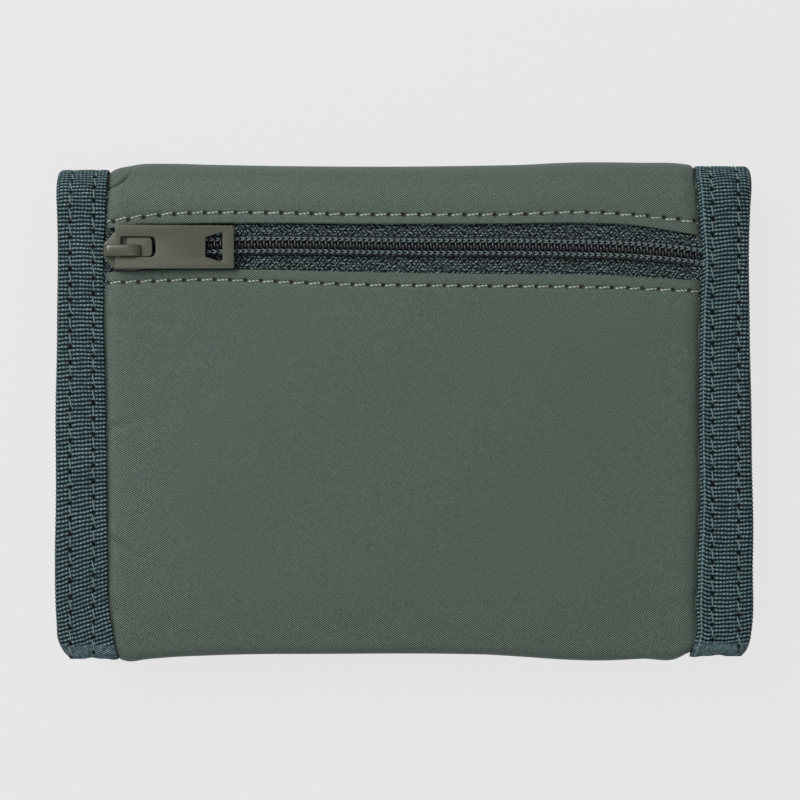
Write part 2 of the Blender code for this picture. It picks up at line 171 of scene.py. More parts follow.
def skin(s, n):
    """(y, z) at run s and depth n."""
    turn = np.clip((s - PANEL_RUN) / SPINE_R, 0, math.pi)
    before = np.minimum(s - PANEL_RUN, 0)
    after = np.maximum(s - PANEL_RUN - SPINE_RUN, 0)
    r = SPINE_R - n
    return SPINE_Y + r * np.sin(turn) + before - after, SPINE_R - r * np.cos(turn)


def station(s):
    """How far along a panel run s is: the panel's y where it is flat, and more round the spine."""
    return np.minimum(s, FULL_RUN - s) - HALF_H


def back_run(y):
    return FULL_RUN - (y + HALF_H)


def front_run(y):
    return y + HALF_H


def spine_turn(s):
    """0 on the panels, rising to 1 at the spine's middle."""
    return np.sin(np.clip((s - PANEL_RUN) / SPINE_R, 0, math.pi))


def smooth(t):
    """0 below t = 0, 1 above t = 1 and an even rise between them."""
    t = np.clip(t, 0, 1)
    return t * t * (3 - 2 * t)


def bump(d, width):
    """1 where d is 0, falling to nothing a few widths away."""
    return np.exp(-((d / width) ** 2))


# ---------------------------------------------------------------- meshes


def link_object(name, mesh, material):
    mesh.shade_smooth()
    mesh.materials.clear()
    mesh.materials.append(material)
    obj = bpy.data.objects.new(name, mesh)
    bpy.context.scene.collection.objects.link(obj)
    return obj


def make_object(name, points, faces, material, uv=None, values=None):
    """A mesh object from points in millimetres; uv holds one pair for each point."""
    mesh = bpy.data.meshes.new(name)
    mesh.from_pydata((np.asarray(points, float) * MM).tolist(), [], faces)
    if uv is not None:
        layer = mesh.uv_layers.new(name="UVMap")
        corners = np.empty(len(mesh.loops), np.int32)
        mesh.loops.foreach_get("vertex_index", corners)
        layer.data.foreach_set("uv", np.asarray(uv, np.float32)[corners].ravel())
    for key, value in (values or {}).items():
        attribute = mesh.attributes.new(key, "FLOAT", "POINT")
        attribute.data.foreach_set("value", np.asarray(value, np.float32).ravel())
    return link_object(name, mesh, material)


def grid_faces(rows, cols, flip=False, start=0):
    i, j = np.meshgrid(np.arange(rows - 1), np.arange(cols - 1), indexing="ij")
    a = (i * cols + j).ravel() + start
    quads = np.stack([a, a + cols, a + cols + 1, a + 1], 1)
    return quads[:, ::-1] if flip else quads


def grid_object(name, x, y, z, material, uv=None, values=None, flip=False):
    """A sheet from arrays of rows along the run and columns along x."""
    x, y, z = np.broadcast_arrays(x, y, z)
    points = np.stack([x, y, z], -1).reshape(-1, 3)
    pairs = None if uv is None else np.stack(np.broadcast_arrays(*uv), -1).reshape(-1, 2)
    flat = {key: np.broadcast_to(v, x.shape).ravel() for key, v in (values or {}).items()}
    return make_object(name, points, grid_faces(*x.shape, flip).tolist(), material, pairs, flat)


def tube_object(name, paths, radii, material, sides=6, flat=1.0):
    """Closed tubes along paths, one radius or row of radii for each. flat squashes them across their side."""
    points, faces, uv = [], [], []
    ring = np.linspace(0, 2 * math.pi, sides, endpoint=False)
    for path, radius in zip(paths, radii):
        path = np.asarray(path, float)
        radius = np.broadcast_to(radius, len(path))
        along = np.gradient(path, axis=0)
        along /= np.linalg.norm(along, axis=1)[:, None]
        guide = np.array([0, 0, 1.0]) if abs(along[:, 2]).mean() < 0.8 else np.array([1.0, 0, 0])
        side = np.cross(along, guide)
        side /= np.maximum(np.linalg.norm(side, axis=1)[:, None], 1e-6)
        up = np.cross(side, along)
        first = len(points)
        run = np.concatenate([[0], np.cumsum(np.linalg.norm(np.diff(path, axis=0), axis=1))])
        for k, centre in enumerate(path):
            for a in ring:
                points.append(centre + radius[k] * (side[k] * math.cos(a) + up[k] * math.sin(a) * flat))
                uv.append((run[k], a / (2 * math.pi)))
        faces += tube_faces(len(path), sides, first)
    return make_object(name, points, faces, material, uv)


def tube_faces(rings, sides, first=0):
    """The sides of a closed tube between its rings, then its two ends."""
    faces = []
    for k in range(rings - 1):
        for m in range(sides):
            a, b = first + k * sides + m, first + k * sides + (m + 1) % sides
            faces.append((a, a + sides, b + sides, b))
    faces.append(tuple(first + m for m in range(sides)))
    faces.append(tuple(first + (rings - 1) * sides + m for m in reversed(range(sides))))
    return faces


def outline_plate(name, outlines, thickness, rounding, material):
    """A flat plate about z = 0 from closed outlines, the first its edge and the rest its holes."""
    curve = bpy.data.curves.new(name, "CURVE")
    curve.dimensions = "2D"
    curve.fill_mode = "BOTH"
    curve.extrude = (thickness / 2 - rounding) * MM
    curve.bevel_depth = rounding * MM
    curve.bevel_resolution = 3
    curve.offset = -rounding * MM
    for outline in outlines:
        spline = curve.splines.new("POLY")
        spline.points.add(len(outline) - 1)
        for point, (x, y) in zip(spline.points, outline):
            point.co = (x * MM, y * MM, 0, 1)
        spline.use_cyclic_u = True
    guide = bpy.data.objects.new(name + "_outline", curve)
    bpy.context.scene.collection.objects.link(guide)
    bpy.context.view_layer.update()
    mesh = bpy.data.meshes.new_from_object(guide.evaluated_get(bpy.context.evaluated_depsgraph_get()))
    bpy.data.objects.remove(guide, do_unlink=True)
    plate = link_object(name, mesh, material)
    weld(plate, 0.001)
    return plate


def weld(piece, distance):
    """Joins points of a piece that lie closer together than a distance."""
    modifier = piece.modifiers.new("weld", "WELD")
    modifier.merge_threshold = distance * MM


def thicken(piece, thickness):
    """Gives a sheet its cloth's thickness."""
    solid = piece.modifiers.new("cloth thickness", "SOLIDIFY")
    solid.thickness = thickness * MM
    solid.offset = 0


def rounded_corners(corners, radii):
    """A closed outline with each corner rounded by its own radius."""
    outline = []
    count = len(corners)
    for k in range(count):
        before, at, after = (np.array(corners[(k + d) % count], float) for d in (-1, 0, 1))
        to_before = (before - at) / np.linalg.norm(before - at)
        to_after = (after - at) / np.linalg.norm(after - at)
        half = math.acos(np.clip(to_before @ to_after, -1, 1)) / 2
        reach = radii[k] / math.tan(half)
        start, end = at + to_before * reach, at + to_after * reach
        for t in np.linspace(0, 1, 7):
            outline.append(tuple((1 - t) ** 2 * start + 2 * t * (1 - t) * at + t**2 * end))
    return outline


# ---------------------------------------------------------------- materials


class Nodes:
    """Short calls for building a material's node tree."""

    def __init__(self, name, colour, roughness, specular=0.5):
        self.material = bpy.data.materials.new(name)
        self.material.use_nodes = True
        self.tree = self.material.node_tree
        self.shader = self.tree.nodes["Principled BSDF"]
        self.shader.inputs["Base Color"].default_value = (*colour, 1)
        self.shader.inputs["Roughness"].default_value = roughness
        self.shader.inputs["Specular IOR Level"].default_value = specular

    def put(self, socket, value):
        if isinstance(value, bpy.types.NodeSocket):
            self.tree.links.new(value, socket)
        else:
            socket.default_value = value

    def math(self, operation, a, b=0.0, c=0.0):
        node = self.tree.nodes.new("ShaderNodeMath")
        node.operation = operation
        for socket, value in zip(node.inputs, (a, b, c)):
            self.put(socket, value)
        return node.outputs[0]

    def plus(self, a, b):
        return self.math("ADD", a, b)

    def times(self, a, b):
        return self.math("MULTIPLY", a, b)

    def linear(self, value, slope, start):
        return self.math("MULTIPLY_ADD", value, slope, start)

    def wave(self, value, period, phase=0.0):
        """0.5 + 0.5 cos(2 pi (value / period + phase)). The phase may be a socket."""
        turned = self.plus(self.math("DIVIDE", value, period), phase)
        return self.linear(self.math("COSINE", self.times(turned, 2 * math.pi)), 0.5, 0.5)

    def uv(self):
        node = self.tree.nodes.new("ShaderNodeUVMap")
        node.uv_map = "UVMap"
        split = self.tree.nodes.new("ShaderNodeSeparateXYZ")
        self.tree.links.new(node.outputs[0], split.inputs[0])
        return split.outputs[0], split.outputs[1]

    def value(self, name):
        node = self.tree.nodes.new("ShaderNodeAttribute")
        node.attribute_name = name
        return node.outputs["Fac"]

    def noise(self, scale, detail=2.0, rough=0.5):
        """Noise over the object's own space. The scale is in features per metre."""
        place = self.tree.nodes.new("ShaderNodeTexCoord")
        node = self.tree.nodes.new("ShaderNodeTexNoise")
        self.tree.links.new(place.outputs["Object"], node.inputs["Vector"])
        node.inputs["Scale"].default_value = scale
        node.inputs["Detail"].default_value = detail
        node.inputs["Roughness"].default_value = rough
        return node.outputs["Fac"]

    def mix(self, factor, a, b):
        node = self.tree.nodes.new("ShaderNodeMix")
        node.data_type = "RGBA"
        self.put(node.inputs["Factor"], factor)
        for key, end in (("A", a), ("B", b)):
            self.put(node.inputs[key], end if isinstance(end, bpy.types.NodeSocket) else (*end, 1))
        return node.outputs["Result"]

    def lerp(self, factor, a, b):
        """a where the factor is 0, and b where it is 1."""
        return self.plus(self.times(a, self.math("SUBTRACT", 1.0, factor)), self.times(b, factor))

    def colour(self, socket):
        self.put(self.shader.inputs["Base Color"], socket)

    def rough(self, low, high, factor):
        self.put(self.shader.inputs["Roughness"], self.linear(factor, high - low, low))

    def relief(self, height, distance_mm):
        node = self.tree.nodes.new("ShaderNodeBump")
        node.inputs["Strength"].default_value = 1.0
        node.inputs["Distance"].default_value = distance_mm * MM
        self.put(node.inputs["Height"], height)
        self.put(self.shader.inputs["Normal"], node.outputs[0])


def srgb(r, g, b):
    """A colour from 0 to 255 as the linear values that a shader takes."""
    out = []
    for c in (r, g, b):
        c /= 255
        out.append(c / 12.92 if c <= 0.04045 else ((c + 0.055) / 1.055) ** 2.4)
    return tuple(out)


def twill_material(name, light, dark, period_x=0.632, period_y=0.451, relief_mm=0.05):
    """Fine nylon twill: diagonal lines crossed by the yarns' floats, with a soft uneven tone."""
    n = Nodes(name, light, 0.6, specular=0.35)
    u, v = n.uv()
    diagonal = n.wave(u, period_x, n.math("DIVIDE", v, period_y))
    yarn = n.wave(u, period_x / 2, n.math("DIVIDE", v, period_y * 3))
    weave = n.plus(n.times(diagonal, 0.65), n.times(yarn, 0.35))
    blotch = n.noise(140, 3)
    grain = n.noise(2600, 2)
    depth = n.linear(blotch, 1.6, 0.75)
    tone = n.times(n.math("SUBTRACT", weave, 0.5), depth)
    tone = n.plus(tone, n.linear(grain, 0.7, 0.04))
    shade = n.mix(tone, dark, light)
    # Painted shade: the needle holes are darkened to near black, in place of the shadow inside each hole.
    hole_shade = n.math("MINIMUM", n.times(n.value("hole_shade"), 2.6), 1.0)
    n.colour(n.mix(hole_shade, shade, (0.0006, 0.0008, 0.0006)))
    n.rough(0.5, 0.72, blotch)
    n.shader.inputs["Sheen Weight"].default_value = 0.06
    n.shader.inputs["Sheen Roughness"].default_value = 0.4
    n.relief(n.plus(weave, n.times(grain, 0.4)), relief_mm)
    return n.material


def lining_material(name, light, dark):
    """Plain-woven thin nylon lining."""
    n = Nodes(name, light, 0.5, specular=0.4)
    u, v = n.uv()
    weave = n.times(n.wave(u, 0.36), n.wave(v, 0.36))
    tone = n.plus(n.times(weave, 0.6), n.times(n.noise(90, 3), 0.4))
    n.colour(n.mix(tone, dark, light))
    n.rough(0.42, 0.6, n.noise(200, 2))
    n.shader.inputs["Sheen Weight"].default_value = 0.1
    n.relief(weave, 0.03)
    return n.material


def grosgrain_material(name, light, mid, dark):
    """Ribbed tape. UV holds the place across the tape and along its ribs, in millimetres. The attribute end
    is 1 where the tape is folded in at its ends, and selvedge is 1 on a tape whose inner edge has a cord."""
    n = Nodes(name, mid, 0.8, specular=0.12)
    u, v = n.uv()
    end = n.value("end")
    rib = n.wave(v, RIB_PITCH)
    bead = n.wave(u, 0.72, n.times(n.noise(300, 1), 1.2))
    fleck = n.noise(1100, 2, 0.6)
    patch = n.noise(260, 2)
    crest = n.times(n.math("POWER", rib, 2.2), n.linear(bead, 0.85, 0.15))
    uneven = n.plus(n.linear(fleck, 2.2, -0.3), n.linear(patch, 1.2, -0.6))
    crest = n.times(crest, n.math("MAXIMUM", uneven, 0.1))
    fine = n.wave(u, 0.6, n.math("DIVIDE", v, 0.52))
    fine = n.times(fine, n.math("MAXIMUM", n.linear(fleck, 2.2, -0.6), 0.05))
    crest = n.lerp(end, crest, fine)
    body = n.lerp(end, n.math("SMOOTH_MIN", n.times(rib, 1.3), 1.0, 0.2), 0.6)
    cord = n.math("POWER", n.math("DIVIDE", n.math("SUBTRACT", u, SELVEDGE_CORD_X), 0.2), 2.0)
    cord = n.times(n.math("MAXIMUM", n.math("SUBTRACT", 1.0, cord), 0.0), n.value("selvedge"))
    cord = n.times(cord, n.linear(n.wave(v, 0.62), 0.4, 0.15))
    shade = n.mix(cord, n.mix(crest, n.mix(body, dark, mid), light), light)
    # Painted shade: the needle holes are darkened towards black, in place of the shadow inside each hole.
    hole_shade = n.math("MINIMUM", n.times(n.value("hole_shade"), 1.8), 1.0)
    n.colour(n.mix(hole_shade, shade, tuple(c * 0.2 for c in dark)))
    n.rough(0.62, 0.85, fleck)
    n.relief(n.plus(crest, cord), 0.12)
    return n.material


def thread_material(name, light, dark, lay=0.42):
    """Two-ply sewing thread, with its twist as slanting light and dark."""
    n = Nodes(name, light, 0.55, specular=0.4)
    u, v = n.uv()
    twist = n.wave(u, lay, v)
    fuzz = n.noise(4000, 2)
    n.colour(n.mix(n.linear(twist, 0.75, n.times(fuzz, 0.25)), dark, light))
    n.relief(twist, 0.06)
    return n.material


def zip_tape_material(name, light, dark):
    """Fine knitted zip tape."""
    n = Nodes(name, dark, 0.8, specular=0.12)
    tone = n.times(n.math("POWER", n.value("knit"), 1.7), n.linear(n.noise(1800, 2), 2.4, -0.1))
    n.colour(n.mix(tone, dark, light))
    n.relief(n.noise(3500, 2), 0.03)
    return n.material


def plastic_material(name, light, dark, roughness=0.35):
    """Drawn nylon wire."""
    n = Nodes(name, dark, roughness, specular=0.5)
    n.colour(n.mix(n.noise(900, 2), dark, light))
    n.rough(roughness - 0.08, roughness + 0.12, n.noise(2000, 1))
    n.relief(n.noise(5000, 1), 0.01)
    return n.material


def paint_material(name, light, dark, gloss=0.0):
    """Satin paint over a die casting: a fine orange peel and a cloudy, uneven tone."""
    n = Nodes(name, light, 0.42)
    peel = n.noise(1400, 2, 0.4)
    cloud = n.noise(160, 3)
    n.colour(n.mix(cloud, dark, light))
    n.rough(0.36 - gloss, 0.52 - gloss, n.linear(cloud, 0.6, n.times(peel, 0.4)))
    n.shader.inputs["Coat Weight"].default_value = 0.15
    n.shader.inputs["Coat Roughness"].default_value = 0.3
    n.relief(peel, 0.012)
    return n.material


def foam_material(name, light, dark):
    """Open-cell foam sheet."""
    n = Nodes(name, light, 0.95, specular=0.1)
    cells = n.noise(2200, 4, 0.7)
    n.colour(n.mix(cells, dark, light))
    n.relief(cells, 0.15)
    return n.material


def floor_material(colour):
    """Plain pale paper, lit a little from within so that it stays even."""
    n = Nodes("floor_paper", colour, 0.8, specular=0.15)
    fine = n.noise(700, 3)
    n.colour(n.mix(n.times(fine, 0.5), colour, tuple(c * 0.97 for c in colour)))
    n.relief(fine, 0.02)
    n.shader.inputs["Emission Color"].default_value = (1, 1, 1, 1)
    n.shader.inputs["Emission Strength"].default_value = FLOOR_GLOW
    return n.material


COVER = twill_material("cover_twill", srgb(99, 117, 105), srgb(3, 7, 5))
LINING = lining_material("lining_cloth", srgb(88, 100, 92), srgb(58, 70, 62))
TAPE = grosgrain_material("grosgrain", srgb(129, 152, 155), srgb(20, 44, 52), srgb(0, 7, 11))
THREAD = thread_material("topstitch_thread", srgb(176, 186, 170), srgb(62, 72, 60), 0.8)
TAPE_THREAD = thread_material("binding_thread", srgb(132, 149, 150), srgb(60, 78, 82))
CHAIN_THREAD = thread_material("chain_thread", srgb(120, 138, 142), srgb(30, 42, 46))
ZIP_TAPE = zip_tape_material("zip_tape_knit", srgb(124, 144, 146), srgb(0, 3, 5))
COIL = plastic_material("coil_nylon", srgb(18, 24, 27), srgb(3, 6, 8), 0.26)
PAINT = paint_material("olive_paint", srgb(60, 63, 47), srgb(54, 57, 42))
# The bridge's paint is a glossier copy of the olive paint, and its lighter colour is a painted highlight.
CROWN_PAINT = paint_material("olive_paint_highlit", srgb(64, 66, 50), srgb(56, 58, 43), 0.12)
FOAM = foam_material("foam_sheet", srgb(120, 122, 118), srgb(80, 82, 78))
HOOK = plastic_material("hook_nylon", srgb(74, 86, 78), srgb(40, 50, 44))
LOOP = thread_material("loop_pile", srgb(80, 92, 84), srgb(44, 54, 47))


# ---------------------------------------------------------------- binding tape


def tape_end(side, run):
    """0 along a tape, rising to 1 where it is folded in at its ends."""
    curl_start = back_run(TAPE_END_Y[side]) - TAPE_END_R
    return smooth((np.maximum(run, FULL_RUN - run) - curl_start + 0.9) / 0.9)


def tape_point(side, f, s, lift=0.0):
    """A point on a binding tape's outer face. f runs 0 to 1 over the outer leg from the tape's inner edge,
    1 to 2 round the fold at the wallet's side and 2 to 3 over the inner leg. Returns x, y, z and the
    distances across and along the tape."""
    f, s = np.broadcast_arrays(np.asarray(f, float), np.asarray(s, float))
    outer_leg, fold, inner_leg = np.clip(f, 0, 1), np.clip(f - 1, 0, 1), np.clip(f - 2, 0, 1)
    at_back = s > MID_RUN
    run = np.where(at_back, s, FULL_RUN - s)

    curl_start = back_run(TAPE_END_Y[side]) - TAPE_END_R
    turn = np.clip((run - curl_start) / TAPE_END_R, 0, math.pi / 2)
    over = outer_leg - inner_leg
    ripple = 0.16 * np.sin(6.5 * over + 0.6) + 0.07 * np.sin(17 * over)
    flat_run = np.minimum(run, curl_start) + (TAPE_END_R + ripple) * np.sin(turn)

    place = station(flat_run)
    inner_x = TAPE_INNER_X[side](place)
    outer_x = TAPE_OUTER_X[side](place)
    bound = BOUND_EDGE_T - SPINE_THINNING * spine_turn(run) ** 2
    half = (bound - TAPE_T) / 2
    leg = outer_x - TAPE_T / 2 - half - inner_x
    top = TAPE_DEPTH + (TAPE_SPINE_DEPTH[side] - TAPE_DEPTH) * spine_turn(run) ** 2
    x = inner_x + leg * over + half * np.sin(math.pi * fold)
    n = top + TAPE_T / 2 + half * (1 - np.cos(math.pi * fold))
    across = leg * (outer_leg + inner_leg) + math.pi * half * fold
    w = x - inner_x

    slant = RIB_SLANT[side](place) * w + RIB_BOW[side](place) * 4 * (w / 10) * (1 - w / 10)
    along = run - slant + 0.05 * np.sin(w * 1.3 + run * 0.9) + 0.03 * np.sin(w * 3.7 - run * 1.7)
    along = along + SELVEDGE_KINK[side] * np.clip(1 - np.abs(w - 0.9) / 1.1, 0, 1)
    rib = 0.5 + 0.5 * np.cos(2 * math.pi * along / RIB_PITCH)
    rows = sum(bump(np.abs(x) - row, 0.55) for row in TAPE_STITCH_X[side])
    pillow = 0.10 * np.sin(math.pi * np.clip(w / (outer_x - inner_x), 0, 1)) - 0.16 * rows
    edge = (0.30 * rib - 0.34) * bump(across, 0.25) - 0.22 * bump(across - 2 * leg - math.pi * half, 0.22)
    wave = 0.05 * np.sin(run / 3.9 + w / 2.3) + 0.04 * np.sin(run / 9.1 + 2)
    height = RIB_HEIGHT * (1 - 0.8 * tape_end(side, run))
    out = TAPE_T / 2 + height * (rib - 0.5) + pillow + edge + wave + lift

    x = x + out * np.sin(math.pi * fold)
    n = n - out * np.cos(math.pi * fold)
    middle = top + bound / 2
    n = middle + (n - middle) * np.cos(turn)
    y, z = skin(np.where(at_back, flat_run, FULL_RUN - flat_run), n)
    return SIDES[side] * x, y, z, across, along


def leg_position(side, x, s):
    """f on the outer leg for a distance x from the wallet's middle."""
    place = station(s)
    half = (BOUND_EDGE_T - SPINE_THINNING * spine_turn(s) ** 2 - TAPE_T) / 2
    inner_x = TAPE_INNER_X[side](place)
    return (x - inner_x) / (TAPE_OUTER_X[side](place) - TAPE_T / 2 - half - inner_x)


def stitch_path(surface, start, end, sink=0.35, rise=0.16, points=9):
    """The line of one stitch: up out of its hole, over the cloth and down into the next."""
    path = []
    for t in np.linspace(0, 1, points):
        height = -sink + (sink + rise) * min(1.0, 4.2 * min(t, 1 - t)) ** 0.6
        a, b = (1 - t) * np.array(start) + t * np.array(end)
        path.append(surface(a, b, height))
    return path


def tape_runs(side):
    """The runs of a tape's two ends."""
    reach = back_run(TAPE_END_Y[side]) + (math.pi / 2 - 1) * TAPE_END_R
    return FULL_RUN - reach, reach


def tape_stitches(side, run_from, run_to):
    """Stitch paths on both legs of a tape, and the places of their holes as (x, run)."""

    def over(x, run, height):
        return [float(c) for c in tape_point(side, leg_position(side, x, run), run, height)[:3]]

    def under(x, run, height):
        return [float(c) for c in tape_point(side, 3 - leg_position(side, x, run), run, height)[:3]]

    paths, holes = [], []
    first, last = tape_runs(side)
    for row, row_x in enumerate(TAPE_STITCH_X[side]):
        for k in range(int((last - first - 4) / TAPE_STITCH_PITCH)):
            s = first + 2.5 + (k + 0.4 * row) * TAPE_STITCH_PITCH
            if run_from <= s < run_to:
                holes.append((row_x, s))
                drift = 0.22 * SIDES[side] + 0.08 * math.sin(k * 2.3)
                end_s = s + TAPE_STITCH_PITCH * TAPE_STITCH_SHOWN
                for surface in (over, under):
                    paths.append(stitch_path(surface, (row_x - drift, s), (row_x + drift, end_s)))
    return paths, holes


def hole_depth(x, s, holes, radius=0.32):
    """0 to 1 where a needle hole is, from a list of (x, run)."""
    dark = np.zeros(np.broadcast(x, s).shape)
    x, s = np.broadcast_arrays(x, s)
    for hx, hs in holes:
        near = (np.abs(s - hs) < 3 * radius) & (np.abs(x - hx) < 3 * radius)
        dark[near] = np.maximum(dark[near], bump(x[near] - hx, radius) * bump(s[near] - hs, radius * 1.35))
    return dark


def make_tape(side, part):
    """Half of a binding tape, from the spine's middle to a free edge, with its stitches."""
    first, last = tape_runs(side)
    run_from, run_to = (first, MID_RUN) if part == "front" else (MID_RUN, last)
    rows = int((run_to - run_from) / RIB_PITCH * RIB_STEPS)
    s = np.linspace(run_from, run_to, rows)[:, None]
    f = np.concatenate([np.linspace(0, 0.06, 4), np.linspace(0.09, 1, 38), np.linspace(1.1, 2, 10),
                        np.linspace(2.04, 2.94, 24), np.linspace(2.96, 3, 3)])[None, :]
    x, y, z, across, along = tape_point(side, f, s)
    paths, holes = tape_stitches(side, run_from, run_to)
    gap = TAPE_STITCH_PITCH * (1 + TAPE_STITCH_SHOWN) / 2
    dark = hole_depth(np.abs(x), s + 0 * x, [(hx, hs + gap) for hx, hs in holes])

    # The tape's two edges are turned in by its thickness
    back = tape_point(side, f, s, -TAPE_T * 0.9)[:3]
    x, y, z = (np.concatenate([b[:, 4:5], b[:, :1], a, b[:, -1:], b[:, -5:-4]], 1)
               for a, b in zip((x, y, z), back))
    across, along, dark = (np.pad(a, [(0, 0), (2, 2)], mode="edge") for a in (across, along, dark))
    values = {"hole_shade": dark, "end": tape_end(side, s), "selvedge": np.full((1, 1), float(side == "right"))}
    name = f"binding_tape_{side}_{part}"
    tape = grid_object(name, x, y, z, TAPE, (across, along), values, flip=SIDES[side] < 0)
    stitches = tube_object(f"binding_stitches_{side}_{part}", paths, [THREAD_R] * len(paths), TAPE_THREAD, 5)
    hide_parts(f"{part}_binding_{side}")
    if part == "front":
        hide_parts(f"spine_binding_{side}")
    return tape, stitches


# ---------------------------------------------------------------- cover cloth

EAR = through([(-60.5, 45.1), (-59.2, 45.4), (-57.1, 46.3), (-56, 47.2), (-54.8, 49.0)])
TUCK = through([(57.2, 46.6), (58.4, 46.1), (59.6, 45.5)])
# Side, place, reach, width, depth and slope of each pucker beside a binding
PUCKERS = [
    (-1, -4.0, 4.0, 0.9, 0.35, 0.35), (-1, -25.5, 4.5, 1.0, 0.5, -0.7), (-1, 19.0, 6.0, 1.1, 0.25, -0.1),
    (-1, 8.0, 5.0, 1.6, 0.12, -0.2), (-1, -40.0, 6.0, 1.8, 0.16, -0.3), (1, 16.0, 8.0, 2.0, 0.3, -0.25),
    (1, -8.0, 6.0, 1.6, 0.14, 0.2), (1, -22.0, 4.0, 1.1, 0.18, 0.3), (1, -38.0, 7.0, 1.6, 0.25, -0.35),
]
WAVES = [[RANDOM.uniform(*span) for span in ((0.05, 0.16), (-0.14, 0.14), (0, 6.3))] for _ in range(9)]
STITCH_SHOWN = 0.76
HOLE_OFFSET = ZIP_STITCH_PITCH * (1 + STITCH_SHOWN) / 2
SEAM_FURROW = 0.20
EDGE_ANGLES = np.linspace(0.1, 1, 16)[:, None] * math.pi
EDGE_HEM = np.linspace(0.3, 6, 8)[:, None]


def crease(x, y, line, start, end, depth, fall):
    """A step down above a line y(x), that fades out over the distance fall."""
    along = (x - start) / (end - start)
    past = (y - line(x)) * 0.75
    inside = smooth((along + 0.25) / 0.2) * smooth((1.15 - along) / 0.4)
    past_edge = np.maximum(past, 0)
    profile = 0.45 * np.exp(-past_edge / fall) + 0.9 * np.exp(-((past_edge / 0.6) ** 2))
    return depth * smooth(past / 0.5 + 0.5) * profile * inside


def cover_depth(x, s, on_table=False):
    """The depth of the cover cloth's outer face below the CAD skin."""
    place = station(s)
    turn = spine_turn(s) ** 2
    spine_depth = np.where(x < 0, TAPE_SPINE_DEPTH["left"], TAPE_SPINE_DEPTH["right"])
    under_tape = TAPE_DEPTH + (spine_depth - TAPE_DEPTH) * turn + TAPE_T + 0.4
    gap = np.where(x < 0, TAPE_INNER_X["left"](place), TAPE_INNER_X["right"](place)) - np.abs(x)
    shoulder = EDGE_SHOULDER - np.where(x > 0, 2.0, 0.0) * turn
    bulge = np.sqrt(1 - np.clip(1 - (gap - EDGE_GAP) / shoulder, 0, 1) ** 2)
    crown = CROWN * np.clip(1 - (x / 60) ** 2, 0, 1) * smooth((44 - place) / 14) * smooth((place + 50) / 14)
    open_part = (HALF_H - TOP_OUTLINE(x)) * turn - crown
    soft = sum(0.035 * np.sin(a * x + b * s * 1.2 + c) for a, b, c in WAVES) * bulge * (1 - turn)
    n = under_tape + (open_part - under_tape) * bulge + soft
    if on_table:
        n = np.maximum(n, 0.02 * (1 - turn) - 5 * turn)
    else:
        n = n + EDGE_FALL * (np.clip((-32 - place) / 18, 0, 1) ** 2) * bulge
    for side, at, reach, width, depth, slope in PUCKERS:
        here = np.where(np.sign(x) == side, 1.0, 0.0) * np.where(gap > 0, np.exp(-gap / reach), 1)
        off = place - at - slope * gap
        n = n + depth * here * (bump(off, width) - 0.6 * bump(off - 2 * width, width))
    return n


def back_depth(x, s):
    """The depth of the back cover's outer face, with the tuck at each end of the spine."""
    y, _ = skin(s, 0 * s)
    here = smooth((station(s) - 38) / 3) * smooth((s - MID_RUN) / 5)
    tucks = crease(x, y, EAR, -60.5, -55.3, 1.5, 3.0) + crease(x, y, TUCK, 57.2, 59.6, 0.7, 1.6)
    return cover_depth(x, s) + tucks * here


def zip_seam(x, y, line, holes):
    """The furrow that a row of topstitching pulls into the cloth, and its needle holes."""
    d = y - line(x)
    quilting = 0.05 * bump(d, 2.0) * np.sin(2 * math.pi * x / ZIP_STITCH_PITCH)
    return SEAM_FURROW * bump(d, 0.5) + quilting + 0.35 * holes


def zip_stitch_places(line, phase):
    """(x, y) of the start of each topstitch along the zip."""
    xs = np.arange(-59.6 + phase - ZIP_STITCH_PITCH, 58.4, ZIP_STITCH_PITCH)
    return [(x + 0.10 * math.sin(3.1 * k), float(line(x)) + 0.05 * math.sin(5.7 * k))
            for k, x in enumerate(xs, -1)]


FACE_STITCHES = zip_stitch_places(STITCH_LOW, 0.4)
YOKE_STITCHES = zip_stitch_places(STITCH_TOP, 1.5)


def seam_columns(places):
    """The places of a cover's columns across x, closer together at its needle holes."""
    near = [px + HOLE_OFFSET + d for px, _ in places for d in (-0.33, -0.11, 0.11, 0.33)]
    columns = np.concatenate([np.linspace(-66.5, -61, 6), np.linspace(-60.7, -54, 34),
                              np.linspace(-53.6, 60.7, 236), np.linspace(61, 66.5, 6), near])
    return np.unique(columns.round(1))[None, :]


def seam_holes(x, s, places):
    """0 to 1 where the needle holes of a topstitched seam are."""
    y, _ = skin(s, 0)
    return y, hole_depth(y, x, [(py, px + HOLE_OFFSET) for px, py in places], 0.27)


def edge_radius(x):
    """The roll at the free edge, pressed flat where it goes into the binding tapes."""
    return FREE_EDGE_R + (PRESSED_EDGE_R - FREE_EDGE_R) * smooth((np.abs(x) - 57.2) / 2.6)


def free_bottom(x, mirror=False):
    """The free edge's outline. Inside the bindings the cloth ends before the tape does."""
    outline = BOTTOM_OUTLINE(-x if mirror else x)
    return np.where(np.abs(x) > 58.5, np.maximum(outline, -48.4), outline)


def add_free_edge(x, run, depth, v, bottom):
    """Adds the rows that carry a cover round its free edge and in again to its run, depth and length."""
    radius = edge_radius(x)
    centre_run = back_run(bottom) - radius
    middle = depth[-1:] + radius
    hem_depth = middle + radius + 0.12 * np.sin(EDGE_HEM / 1.7) * radius / FREE_EDGE_R
    return (np.concatenate([run, centre_run + radius * np.sin(EDGE_ANGLES), centre_run - EDGE_HEM]),
            np.concatenate([depth, middle - radius * np.cos(EDGE_ANGLES), hem_depth]),
            np.concatenate([v, v[-1:] + radius * EDGE_ANGLES, v[-1:] + (radius * math.pi + EDGE_HEM)]))


